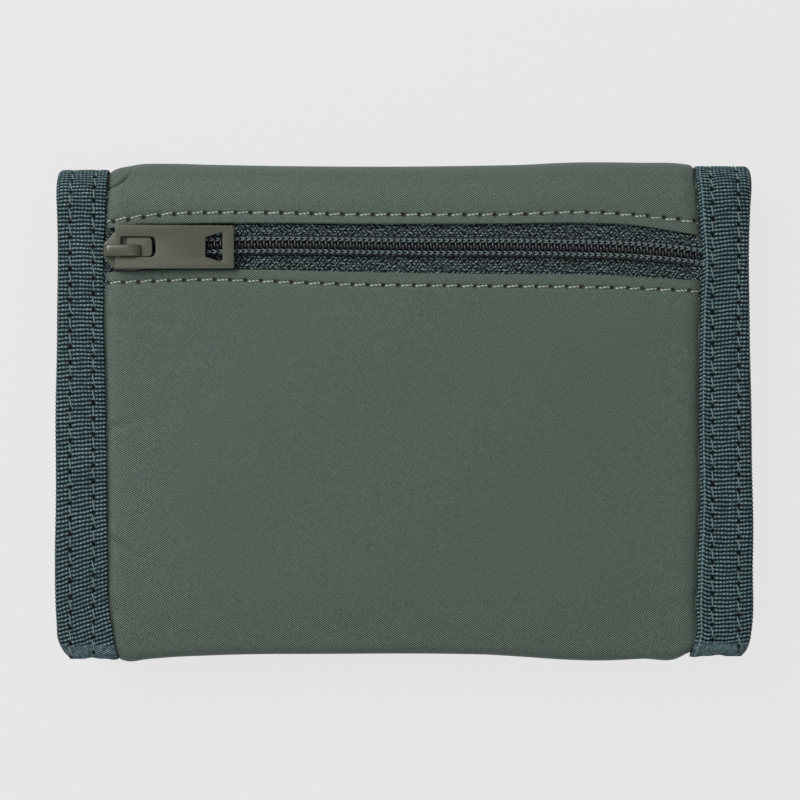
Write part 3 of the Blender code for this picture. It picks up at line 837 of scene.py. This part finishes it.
def make_cover_face():
    """The back cover below the zip: its hem along the zip, the panel and the free edge."""
    x = seam_columns(FACE_STITCHES)
    bottom = free_bottom(x)
    flat_start = back_run(WINDOW_LOW(x)) + HEM_R
    length = back_run(bottom) - edge_radius(x) - flat_start
    least = float(length.min())
    share = np.concatenate([np.linspace(0, 4.4, 22), np.linspace(4.9, least, 128)]) / least
    flat = flat_start + share[:, None] * length
    under = np.linspace(HEM_W, 0.3, 5)[:, None]
    roll = np.linspace(1, 0.12, 7)[:, None] * math.pi
    s = np.concatenate([flat_start + under, flat_start - HEM_R * np.sin(roll), flat])
    below = np.concatenate([2 * HEM_R + 0 * (under + x), HEM_R * (1 - np.cos(roll)) + 0 * x, 0 * flat])
    v = np.concatenate([-under - math.pi * HEM_R + 0 * x, -HEM_R * roll + 0 * x, flat - flat_start])
    y, holes = seam_holes(x, s, FACE_STITCHES)
    n = back_depth(x, s) + zip_seam(x, y, STITCH_LOW, holes) * (below < 0.01) + below
    s, n, v = add_free_edge(x, s, n, v, bottom)
    holes = np.pad(holes, [(0, len(s) - len(holes)), (0, 0)])
    y, z = skin(s, n)
    face = grid_object("back_cover_face", x, y, z, COVER, (x, -v), {"hole_shade": holes})
    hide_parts("back_shell_face")
    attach(face, "back_panel")


def make_cover_yoke():
    """The back cover from the spine's middle to the zip, with its hem."""
    x = seam_columns(YOKE_STITCHES)
    flat_end = back_run(WINDOW_TOP(x)) - HEM_R
    length = flat_end - MID_RUN
    least = length.min()
    share = np.concatenate([np.linspace(0, least - 4.6, 90), np.linspace(least - 4.4, least, 22)]) / least
    flat = MID_RUN + share[:, None] * length
    roll = np.linspace(0.12, 1, 7)[:, None] * math.pi
    under = np.linspace(0.3, HEM_W, 5)[:, None]
    s = np.concatenate([flat, flat_end + HEM_R * np.sin(roll), flat_end - under])
    below = np.concatenate([0 * flat, HEM_R * (1 - np.cos(roll)) + 0 * x, 2 * HEM_R + 0 * (under + x)])
    v = np.concatenate([flat, flat_end + HEM_R * roll, flat_end + math.pi * HEM_R + under])
    y, holes = seam_holes(x, s, YOKE_STITCHES)
    y, z = skin(s, back_depth(x, s) + zip_seam(x, y, STITCH_TOP, holes) * (below < 0.01) + below)
    yoke = grid_object("back_cover_yoke", x, y, z, COVER, (x, -v), {"hole_shade": holes})
    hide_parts("back_shell_yoke")
    blend_half(yoke, "back")


def make_cover_front():
    """The front cover, from its free edge to the spine's middle."""
    x = seam_columns([])[:, ::2]
    bottom = free_bottom(x, mirror=True)
    length = back_run(bottom) - edge_radius(x) - MID_RUN
    run = MID_RUN + np.linspace(0, 1, 150)[:, None] * length
    n = cover_depth(x, FULL_RUN - run, on_table=True)
    run, n, v = add_free_edge(x, run, n, run, bottom)
    y, z = skin(FULL_RUN - run, n)
    cover = grid_object("front_cover", x, y, z, COVER, (x, v), {"hole_shade": 0 * v}, flip=True)
    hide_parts("front_shell", "spine_shell")
    blend_half(cover, "front")


def make_zip_stitches(name, places, line):
    """One row of topstitching beside the zip."""

    def surface(x, y, height):
        s, x = np.array([[back_run(y)]]), np.array([[x]])
        py, pz = skin(s, back_depth(x, s) + SEAM_FURROW * bump(y - line(x), 0.5) - height)
        return [float(x[0, 0]), float(py[0, 0]), float(pz[0, 0])]

    paths = []
    for k, (x, y) in enumerate(places):
        end_x = x + ZIP_STITCH_PITCH * STITCH_SHOWN
        rise = 0.10 if k % 3 else 0.16
        paths.append(stitch_path(surface, (x, y - 0.12), (end_x, float(line(end_x)) + 0.16), 0.3, rise, 10))
    radii = [0.17 + 0.02 * math.sin(k * 1.9) for k in range(len(paths))]
    stitches = tube_object(name, paths, radii, THREAD, 7, 0.8)
    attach(stitches, "back_panel")


# ---------------------------------------------------------------- zip

COIL_LOW, COIL_HIGH = node_box("zip_coil_upper")[0][2], node_box("zip_coil_upper")[1][2]
ZIP_TAPE_TOP = node_box("zip_tape_upper")[1][2]
COIL_PITCH = 1.245
COIL_TURNS = int(121 / COIL_PITCH)
KNIT_ROW = 0.56
KNIT_PITCH = 0.78
WIRE_R = 0.25
# One turn of a coil: the share of its pitch, the distance from the zip's middle and the height
COIL_LOOP = [
    (0.00, 1.95, 0.42), (0.02, 1.80, 0.66), (0.05, 1.35, 0.80), (0.08, 0.70, 0.88), (0.10, 0.10, 1.00),
    (0.12, -0.22, 0.94), (0.20, -0.34, 0.55), (0.30, -0.26, 0.18), (0.40, 0.05, 0.05), (0.50, 0.70, 0.00),
    (0.60, 1.35, 0.02), (0.72, 1.80, 0.12),
]
# One leg of a chain stitch: the distance along the zip, the distance from its own middle and the height
CHAIN_LOOP = [
    (0.10, 0.30, -0.16), (0.28, 0.27, -0.01), (0.52, 0.20, 0.06), (0.78, 0.11, 0.05), (1.0, 0.05, -0.14),
]
CHAIN_R = [0.10, 0.13, 0.16, 0.17, 0.11]
CHAIN_REACH = 1.22


def make_zip_tape(name, node, sign, outer_y):
    """A knitted tape under a coil: raised wales in rows, with an uneven herringbone."""
    x = np.linspace(-63, 63, 1050)[None, :]
    t = np.linspace(0, 1, 76)[:, None]
    inner = COIL_Y(x) + sign * 0.35
    y = inner + (outer_y - inner) * t
    run = np.abs(y - inner)
    row = np.floor(run / KNIT_ROW)
    within = run / KNIT_ROW - row
    lean = np.where(row % 2 == 0, 0.9, -0.9)
    wander = 0.3 * np.sin(1.9 * x + 1.3 * row) + 0.15 * np.sin(5.3 * x + 2.1 * row)
    stroke = 0.5 + 0.5 * np.cos(2 * math.pi * (x / KNIT_PITCH + lean * within + 0.37 * row + wander))
    jitter = 0.5 + 0.5 * np.sin(6.1 * x + 2.9 * row + 2.0 * np.sin(2.3 * x))
    knit = np.clip(stroke**1.6 * np.sin(math.pi * within) ** 0.7 * (0.4 + 1.1 * jitter), 0, 1)
    z = ZIP_TAPE_TOP - 0.1 + 0.22 * knit + 0.04 * np.sin(x / 5.3)
    tape = grid_object(name, x, y, z, ZIP_TAPE, (x, run), {"knit": knit}, flip=sign < 0)
    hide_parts(node)
    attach(tape, "back_panel")


def coil_dive(x):
    """How far the coil is pressed down where it goes under a binding tape."""
    return 1.2 * float(smooth((abs(x) - 57.0) / 2.2))


def coil_path(sign, start):
    """The wire of one coil: out along the top, round a head past the middle, back below."""
    height = COIL_HIGH - COIL_LOW - 2 * WIRE_R
    path, radii = [], []
    for k in range(COIL_TURNS):
        for share, reach, up in COIL_LOOP:
            x = start + (k + share * 0.55 + (0.45 * share**2)) * COIL_PITCH
            y = float(COIL_Y(x)) + sign * reach
            path.append((x, y, COIL_LOW + WIRE_R + height * up - coil_dive(x)))
            radii.append(WIRE_R * (1 + 0.35 * math.exp(-(((reach + 0.2) / 0.3) ** 2))))
    return path, radii


def chain_paths(sign, start):
    """The two legs of each chain stitch over one coil."""
    paths = []
    for k in range(COIL_TURNS):
        x = start + k * COIL_PITCH
        y = float(COIL_Y(x)) + sign * CHAIN_REACH
        top = COIL_HIGH + 0.02 - coil_dive(x)
        for split in (-1, 1):
            paths.append([(x + ahead, y + split * aside, top + up) for ahead, aside, up in CHAIN_LOOP])
    return paths


def make_coils():
    """Two interlocking coils, half a turn apart, with the chain stitches that sew them to the tapes."""
    for name, sign, shift in (("zip_coil_upper", 1, 0.0), ("zip_coil_lower", -1, 0.5)):
        path, radii = coil_path(sign, -60.5 + shift * COIL_PITCH)
        coil = tube_object(f"{name}_wire", [path], [radii], COIL, 7)
        chain = chain_paths(sign, -60.3 + shift * COIL_PITCH)
        threads = tube_object(f"{name}_thread", chain, [CHAIN_R] * len(chain), CHAIN_THREAD, 6)
        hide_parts(name)
        for piece in (coil, threads):
            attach(piece, "back_panel")


# ---------------------------------------------------------------- slider and pull tab

BODY_LOW, BODY_HIGH = node_box("slider_body")
BRIDGE_LOW, BRIDGE_HIGH = node_box("slider_bridge")
PULL_LOW, PULL_HIGH = node_box("pull_tab")
PULL_MIDDLE_Y = (PULL_LOW[1] + PULL_HIGH[1]) / 2
PULL_TILT = math.radians(2.0)
SLIDER_Y = (BODY_LOW[1] + BODY_HIGH[1]) / 2 - 0.5
SLIDER_L = 9.6
PULL_T = 1.1


def slider_plate(name, corners, radii, thickness, rounding, y, z):
    """One plate of the slider. Its corners are given from the slider's nose and its middle line."""
    plate = outline_plate(name, [rounded_corners(corners, radii)], thickness, rounding, PAINT)
    plate.location = (BODY_LOW[0] * MM, y * MM, z * MM)
    return plate


def make_slider():
    """The slider's two wings, the wedge and flanges between them, and the bridge that holds the pull."""
    low, high = BODY_LOW[2], BODY_HIGH[2]
    wide = (BODY_HIGH[1] - BODY_LOW[1]) / 2
    nose, tail = wide * 0.33, wide * 0.88
    wing = [(0, -nose), (2.3, -wide * 0.94), (5.2, -wide * 1.02), (SLIDER_L, -tail), (SLIDER_L, tail),
            (5.2, wide * 1.02), (2.3, wide * 0.94), (0, nose)]
    wing_radii = [0.7, 1.3, 1.6, 0.5, 0.5, 1.6, 1.3, 0.7]
    wedge = [(0.5, -0.9), (2.9, -0.25), (2.9, 0.25), (0.5, 0.9)]
    lug = [(4.8, -1.95), (9.9, -1.95), (9.9, 1.95), (4.8, 1.95)]
    upper = slider_plate("slider_upper_wing", wing, wing_radii, 0.54, 0.2, SLIDER_Y, high - 0.27)
    pieces = [
        upper,
        slider_plate("slider_lower_wing", wing, wing_radii, 0.72, 0.22, SLIDER_Y, low + 0.36),
        slider_plate("slider_wedge", wedge, [0.4, 0.15, 0.15, 0.4], 2.7, 0.1, SLIDER_Y, (low + high) / 2),
    ]
    for name, side in (("slider_flange_low", -1), ("slider_flange_high", 1)):
        flange = [(3.4, side * 3.0), (8.6, side * 3.0), (8.6, side * 3.3), (3.4, side * 3.65)][::side]
        pieces.append(slider_plate(name, flange, [0.12] * 4, 1.5, 0.15, SLIDER_Y, high - 1.35))
    pieces.append(slider_plate("slider_lug", lug, [0.2, 1.0, 1.0, 0.2], 0.8, 0.14, PULL_MIDDLE_Y, high + 0.2))
    pieces.append(make_bridge())
    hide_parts("slider_body")
    for piece in pieces:
        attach(piece, "zip_slider")


def make_bridge():
    """The crown over the slider: a flat-bottomed rounded bar bent into a low arch."""
    x0, y = BRIDGE_LOW[0] + 0.5, PULL_MIDDLE_Y - 0.78
    foot, crown = BODY_HIGH[2] - 0.3, BRIDGE_HIGH[2] - 0.42
    line = [(x0 + 0.05, foot), (x0, foot + 0.7)]
    line += [(x0 + 1 - math.cos(a), crown - 1 + math.sin(a)) for a in np.linspace(0.2, 1.57, 7)]
    line += [(x0 + t, crown) for t in np.linspace(1.7, 4.5, 6)]
    line += [(x0 + 4.7 + 2.4 * math.sin(a), crown - 2.3 * (1 - math.cos(a)))
             for a in np.linspace(0.1, 1.45, 9)]
    ring = np.linspace(0, 2 * math.pi, 25)[:-1]
    points = []
    for k, (cx, cz) in enumerate(line):
        ahead, behind = line[min(k + 1, len(line) - 1)], line[max(k - 1, 0)]
        tx, tz = ahead[0] - behind[0], ahead[1] - behind[1]
        size = math.hypot(tx, tz)
        for a in ring:
            c, s = math.cos(a), math.sin(a)
            across = 1.22 * math.copysign(abs(c) ** 0.75, c)
            out = 0.42 * math.copysign(abs(s) ** 0.75, s)
            points.append((cx - tz / size * out, y + across, cz + tx / size * out))
    bridge = make_object("slider_crown", points, tube_faces(len(line), len(ring)), CROWN_PAINT)
    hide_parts("slider_bridge")
    return bridge


def make_pull():
    """The flat pull tab, with the slot that the bridge passes through and a wedge-shaped eye."""
    pivot = next(j for j in frame["joints"] if j["name"] == "pull_swing")["pos_m"]
    left, right = PULL_LOW[0] - pivot[0] / MM, PULL_HIGH[0] - pivot[0] / MM
    wide = (PULL_HIGH[1] - PULL_LOW[1]) / 2
    slot_x, slot_end = left + 1.15, left + 8.1
    eye_x, eye_end = left + 18.1, left + 21.5
    outlines = [
        ([(left, -wide), (right, -wide + 0.12), (right, wide - 0.12), (left, wide)], [0.35, 0.5, 0.5, 0.35]),
        ([(slot_x, -2.05), (slot_end, -2.05), (slot_end, 2.05), (slot_x, 2.05)], [0.25, 1.1, 1.1, 0.25]),
        ([(eye_x, -1.95), (eye_end, -3.05), (eye_end, 3.05), (eye_x, 1.95)], [0.3, 0.45, 0.45, 0.3]),
    ]
    rounded = [rounded_corners(*outline) for outline in outlines]
    pull = outline_plate("pull_plate", rounded, PULL_T, 0.16, PAINT)
    pull.location = (pivot[0], PULL_MIDDLE_Y * MM, pivot[2])
    pull.rotation_euler = (0, PULL_TILT, 0)
    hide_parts("pull_tab")
    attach(pull, "pull_tab")


# ---------------------------------------------------------------- inside

LAYER_HALF_X = 66.0
POCKET_HALF_X = 64.0
LAYER_LOW_Y = -47.5
POCKET_LOW_Y = -47.8
WALL_DEPTH = {"front": 4.05, "back": 6.65}
CARD_DEPTH = {"front": 4.65, "back": 7.25}
TIERS = {"front": ("rear", "middle", "front"), "back": ("rear", "front")}
TIER_STEP = 0.6
PINCHED_DEPTH = 2.7
MOUTH_REACH = 4.9
MOUTH_W = 10.7
INNER_STITCH_PITCH = 2.9
INNER_STITCH_L = 2.2


def pinch_weight(x, y):
    """0 over a panel's middle, rising to 1 where its layers are pressed together at its edges."""
    side = smooth((np.abs(x) - 53) / 7)
    free = smooth((-41.5 - y) / 6)
    return np.maximum(side, free)


def panel_point(panel, y, n):
    """(y, z) of a point in a panel, from its y and its depth."""
    return skin(back_run(y) if panel == "back" else front_run(y), n)


def inner_layer(name, panel, y_high, depth, edge_depth, node, rests_on, half_x=LAYER_HALF_X,
                y_low=LAYER_LOW_Y, rise=None):
    """A flat sheet inside a panel. Its face looks at the other panel."""
    x = np.linspace(-half_x, half_x, 140)[None, :]
    y = np.linspace(y_low, y_high, 60)[:, None]
    w = pinch_weight(x, y)
    n = depth + (edge_depth - depth) * w
    if rise is not None:
        n = n + rise(x, y) * (1 - w)
    py, pz = panel_point(panel, y, n)
    sheet = grid_object(name, x, py, pz, LINING, (x, y), flip=panel == "front")
    thicken(sheet, 0.25)
    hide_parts(node)
    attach(sheet, f"{panel}_panel")


def make_linings():
    """The linings of the note pocket and the two sides of the coin pocket."""
    for name, panel, high, depth, edge, rests_on in (
        ("front_lining", "front", 40.0, 3.05, 2.0, "front_padding_pad"),
        ("back_lining", "back", 40.0, 5.65, 2.2, "back_padding_pad"),
        ("coin_pocket_front", "back", 27.0, 1.95, 1.55, "back_cover_face"),
        ("coin_pocket_back", "back", 40.0, 3.3, 1.75, "coin_pocket_front_sheet"),
    ):
        inner_layer(f"{name}_sheet", panel, high, depth, edge, name, rests_on)


def make_padding(panel, pressed_depth):
    """A foam sheet, crowned in the middle and pressed thin at its edges, at pressed_depth below the skin."""
    low, high = node_box(f"{panel}_padding")
    cols, rows = 90, 70
    x = np.linspace(low[0], high[0], cols)[None, :]
    y = np.linspace(low[1], high[1], rows)[:, None]
    u = 2 * (x - low[0]) / (high[0] - low[0]) - 1
    v = 2 * (y - low[1]) / (high[1] - low[1]) - 1
    full = np.clip((1 - np.abs(u) ** 14) * (1 - np.abs(v) ** 12), 0, 1) ** 0.5
    w = pinch_weight(x, y)
    middle = (low[2] + high[2]) / 2
    pressed = pressed_depth if panel == "front" else THICK - pressed_depth
    middle = middle + (pressed - middle) * w
    half = (high[2] - low[2]) / 2 * 0.92 * full * (1 - 0.85 * w)
    faces, points = [], []
    for z, flip in ((middle + half, True), (middle - half, False)):
        faces += grid_faces(rows, cols, flip, start=rows * cols * len(points)).tolist()
        points.append(np.stack(np.broadcast_arrays(x, y, z), -1).reshape(-1, 3))
    pad = make_object(f"{panel}_padding_pad", np.concatenate(points), faces, FOAM)
    weld(pad, 0.01)
    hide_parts(f"{panel}_padding")
    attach(pad, f"{panel}_panel")


def pocket_rise(mouth):
    """A card pocket stands a little open at its mouth, in each of its two columns."""

    def rise(x, y):
        column = np.sin(math.pi * np.clip(np.abs(x) / 58, 0, 1))
        return 0.35 * column * smooth((y - mouth + 22) / 22)

    return rise


def make_card_pockets():
    """The tiers of card pockets, each with a bound, stitched mouth."""
    for panel, tiers in TIERS.items():
        rests_on = f"spine_lining_{panel}"
        for k, tier in enumerate(tiers):
            node = f"{panel}_card_pocket_{tier}"
            mouth = node_box(node)[1][1]
            depth = CARD_DEPTH[panel] + TIER_STEP * k
            rise = pocket_rise(mouth)
            inner_layer(f"{node}_sheet", panel, mouth, depth, 2.62 + 0.12 * k, node, rests_on, POCKET_HALF_X,
                        POCKET_LOW_Y, rise)
            make_mouth(panel, node, mouth, depth, rise)
            rests_on = f"{node}_sheet"


def inner_stitches(name, panel, starts, step, depth_at):
    """A row of stitches inside a panel, each going from its start by one step. depth_at gives the depth."""

    def surface(x, y, height):
        x, y = np.array(x), np.array(y)
        depth = depth_at(x, y)
        n = depth + (PINCHED_DEPTH - depth) * pinch_weight(x, y) + height
        return [float(c) for c in (x, *panel_point(panel, y, n))]

    paths = [stitch_path(surface, start, np.add(start, step), 0.2, 0.14, 7) for start in starts]
    stitches = tube_object(name, paths, [THREAD_R] * len(paths), TAPE_THREAD, 5)
    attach(stitches, f"{panel}_panel")
    return stitches


def make_mouth(panel, node, mouth, depth, rise):
    """A narrow grosgrain edge over a pocket's mouth, and a row of stitches through it."""
    x = np.linspace(-60, 60, 240)[None, :]
    t = np.linspace(0, 1, 14)[:, None]
    angle = np.clip((t - 0.42) / 0.16, 0, 1) * math.pi
    inward = np.where(t < 0.5, 1 - np.clip(t / 0.42, 0, 1), np.clip((t - 0.58) / 0.42, 0, 1))
    y = mouth - MOUTH_REACH * inward + 0.3 * np.sin(angle)
    w = pinch_weight(x, y)
    n = depth + (PINCHED_DEPTH - depth) * w + rise(x, y) * (1 - w) + 0.3 * np.cos(angle)
    py, pz = panel_point(panel, y, n)
    uv = (MOUTH_W * t, x)
    edge = grid_object(f"{node}_mouth", x, py, pz, TAPE, uv, {"hole_shade": 0 * py}, flip=panel == "front")
    starts = [(-58 + INNER_STITCH_PITCH * k, mouth - 2.1) for k in range(int(116 / INNER_STITCH_PITCH))]

    def depth_at(px, py):
        return depth + rise(px, py) * (1 - pinch_weight(px, py)) + 0.3

    stitches = inner_stitches(f"{node}_mouth_stitches", panel, starts, (INNER_STITCH_L, 0), depth_at)
    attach(edge, f"{panel}_panel")


def make_column_stitches():
    """The stitches down the middle that part the card pockets into two columns."""
    for panel, mouth, steps_down in (("front", 34.0, (23.4, 11.7)), ("back", 20.0, (6.0,))):
        count = int((mouth + 44) / INNER_STITCH_PITCH)
        starts = [(0, -43 + INNER_STITCH_PITCH * k) for k in range(count)]

        def depth_at(x, y, panel=panel, steps_down=steps_down):
            return CARD_DEPTH[panel] + TIER_STEP * sum(y < step for step in steps_down) + 0.12

        stitches = inner_stitches(f"{panel}_column_stitches", panel, starts, (0, INNER_STITCH_L), depth_at)


def make_note_wall():
    """The inner wall that the card pockets are sewn to. It runs round the inside of the spine."""
    x = np.linspace(-LAYER_HALF_X, LAYER_HALF_X, 150)[None, :]
    for part, depth in WALL_DEPTH.items():
        panel_rows = np.linspace(front_run(-47.6), PANEL_RUN, 90)
        run = np.concatenate([panel_rows, np.linspace(PANEL_RUN, MID_RUN, 40)[1:]])[:, None]
        place = station(run)
        w = pinch_weight(x, place)
        open_depth = depth + (3.1 - depth) * smooth((place - 30) / 16)
        slack = 0.35 * np.sin(place * 1.6) * spine_turn(run) * (1 - w)
        n = open_depth + (2.5 - open_depth) * w + slack
        y, z = skin(run if part == "front" else FULL_RUN - run, n)
        wall = grid_object(f"spine_lining_{part}", x, y, z, LINING, (x, run), flip=part == "front")
        thicken(wall, 0.25)
        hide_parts(f"{part}_card_backing")
        if part == "front":
            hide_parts("spine_lining")
        blend_half(wall, part)


# ---------------------------------------------------------------- hook and loop

STRIP_T = 0.3


def closure_strip(kind, panel, outside, pile):
    """A closed woven strip with rounded edges, which carries hooks or loops. outside is its lowest z."""
    (x0, y0, _), (x1, y1, _) = node_box(f"{kind}_strip")
    outline = rounded_corners([(x0, y0), (x1, y0), (x1, y1), (x0, y1)], [0.8] * 4)
    base = outline_plate(f"{kind}_base", [outline], STRIP_T, 0.08, HOOK)
    base.location = (0, 0, (outside + STRIP_T / 2) * MM)
    for piece in (pile, base):
        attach(piece, f"{panel}_panel")
    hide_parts(f"{kind}_strip")


def make_hooks():
    """The hook strip: a woven base with rows of small bent wires."""
    low, high = node_box("hook_strip")
    foot = low[2] + 0.3
    rise = high[2] - low[2] - 0.35
    paths = []
    for i, x in enumerate(np.arange(low[0] + 1, high[0] - 0.8, 1.25)):
        for j, y in enumerate(np.arange(low[1] + 1, high[1] - 0.8, 1.1)):
            lean = 1 if (i + j) % 2 else -1
            px, py = x + RANDOM.uniform(-0.12, 0.12), y + RANDOM.uniform(-0.12, 0.12)
            bend = [(0, -0.1), (0, rise * 0.7), (0.16, rise), (0.42, rise - 0.05), (0.5, rise * 0.8 - 0.2)]
            paths.append([(px + lean * aside, py, foot + up) for aside, up in bend])
    hooks = tube_object("hook_wires", paths, [0.08] * len(paths), HOOK, 4)
    closure_strip("hook", "front", low[2], hooks)


def make_loops():
    """The loop strip: a woven base under a brushed pile of fine loops."""
    low, high = node_box("loop_strip")
    top = high[2] - 0.25
    arch = [(0, 0), (0.1, 0.7), (0.5, 1), (0.9, 0.7), (1, 0)]
    paths = []
    for _ in range(2400):
        x, y = RANDOM.uniform(low[0] + 0.6, high[0] - 0.6), RANDOM.uniform(low[1] + 0.6, high[1] - 0.6)
        a, size = RANDOM.uniform(0, 6.28), RANDOM.uniform(0.35, 0.7)
        dx, dy = math.cos(a) * size, math.sin(a) * size
        drop = RANDOM.uniform(0.45, 0.8)
        paths.append([(x + t * dx, y + t * dy, top - share * drop) for t, share in arch])
    loops = tube_object("loop_pile", paths, [0.05] * len(paths), LOOP, 3)
    closure_strip("loop", "back", high[2] - STRIP_T, loops)


# ---------------------------------------------------------------- assembly


def blend_half(piece, part):
    """Bakes a piece's placement into its mesh."""
    if part == "front":
        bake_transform(piece)
    else:
        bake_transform(piece)


def make_wallet():
    for side in SIDES:
        for part in ("front", "back"):
            for piece in make_tape(side, part):
                blend_half(piece, part)
    make_cover_face()
    make_cover_yoke()
    make_cover_front()
    make_zip_stitches("face_topstitch", FACE_STITCHES, STITCH_LOW)
    make_zip_stitches("yoke_topstitch", YOKE_STITCHES, STITCH_TOP)
    make_zip_tape("zip_tape_upper_knit", "zip_tape_upper", 1, 43.2)
    make_zip_tape("zip_tape_lower_knit", "zip_tape_lower", -1, 22.5)
    make_coils()
    make_slider()
    make_pull()
    make_linings()
    make_padding("front", 1.5)
    make_padding("back", 1.97)
    make_note_wall()
    make_card_pockets()
    make_column_stitches()
    make_hooks()
    make_loops()


# ---------------------------------------------------------------- stage

FLOOR_GLOW = 0.738
FRAME_WIDTH = 161.1
LENS = 100.0
SENSOR = 36.0
VIEW_CENTRE = (-0.7, 2.2)
SKY_STRENGTH = 0.42
# Place in metres, size and power of each light
LIGHTS = {
    "key": ((-0.45, 0.4, 0.62), 0.5, 7.4),
    "fill": ((0.6, -0.3, 1.0), 0.9, 1.2),
    "overhead": ((0.1, -0.34, 0.85), 0.12, 0.9),
}


def make_stage():
    """A plain pale floor under an even sky, three soft lights, and a camera straight above."""
    bpy.ops.mesh.primitive_plane_add(size=4, location=(0, 0, -0.0002))
    floor = bpy.context.object
    floor.name = "floor"
    floor.data.materials.append(floor_material(srgb(60, 60, 60)))
    world = bpy.data.worlds.new("studio")
    bpy.context.scene.world = world
    world.use_nodes = True
    sky = world.node_tree.nodes["Background"]
    sky.inputs["Color"].default_value = (1, 1, 1, 1)
    sky.inputs["Strength"].default_value = SKY_STRENGTH
    for name, (place, size, power) in LIGHTS.items():
        add_light(name, place, size, power)
    camera = bpy.data.cameras.new("camera")
    camera.lens = LENS
    camera.sensor_width = SENSOR
    eye = bpy.data.objects.new("camera", camera)
    bpy.context.scene.collection.objects.link(eye)
    height = THICK + FRAME_WIDTH * LENS / SENSOR
    eye.location = (VIEW_CENTRE[0] * MM, VIEW_CENTRE[1] * MM, height * MM)
    bpy.context.scene.camera = eye
    bpy.context.scene.view_settings.view_transform = "Standard"


def add_light(name, place, size, power):
    """A square light that points at the wallet."""
    light = bpy.data.lights.new(name, "AREA")
    light.size = size
    light.energy = power
    lamp = bpy.data.objects.new(name, light)
    bpy.context.scene.collection.objects.link(lamp)
    lamp.location = place
    aim = -lamp.location.normalized()
    lamp.rotation_euler = aim.to_track_quat("-Z", "Y").to_euler()


make_stage()
make_wallet()
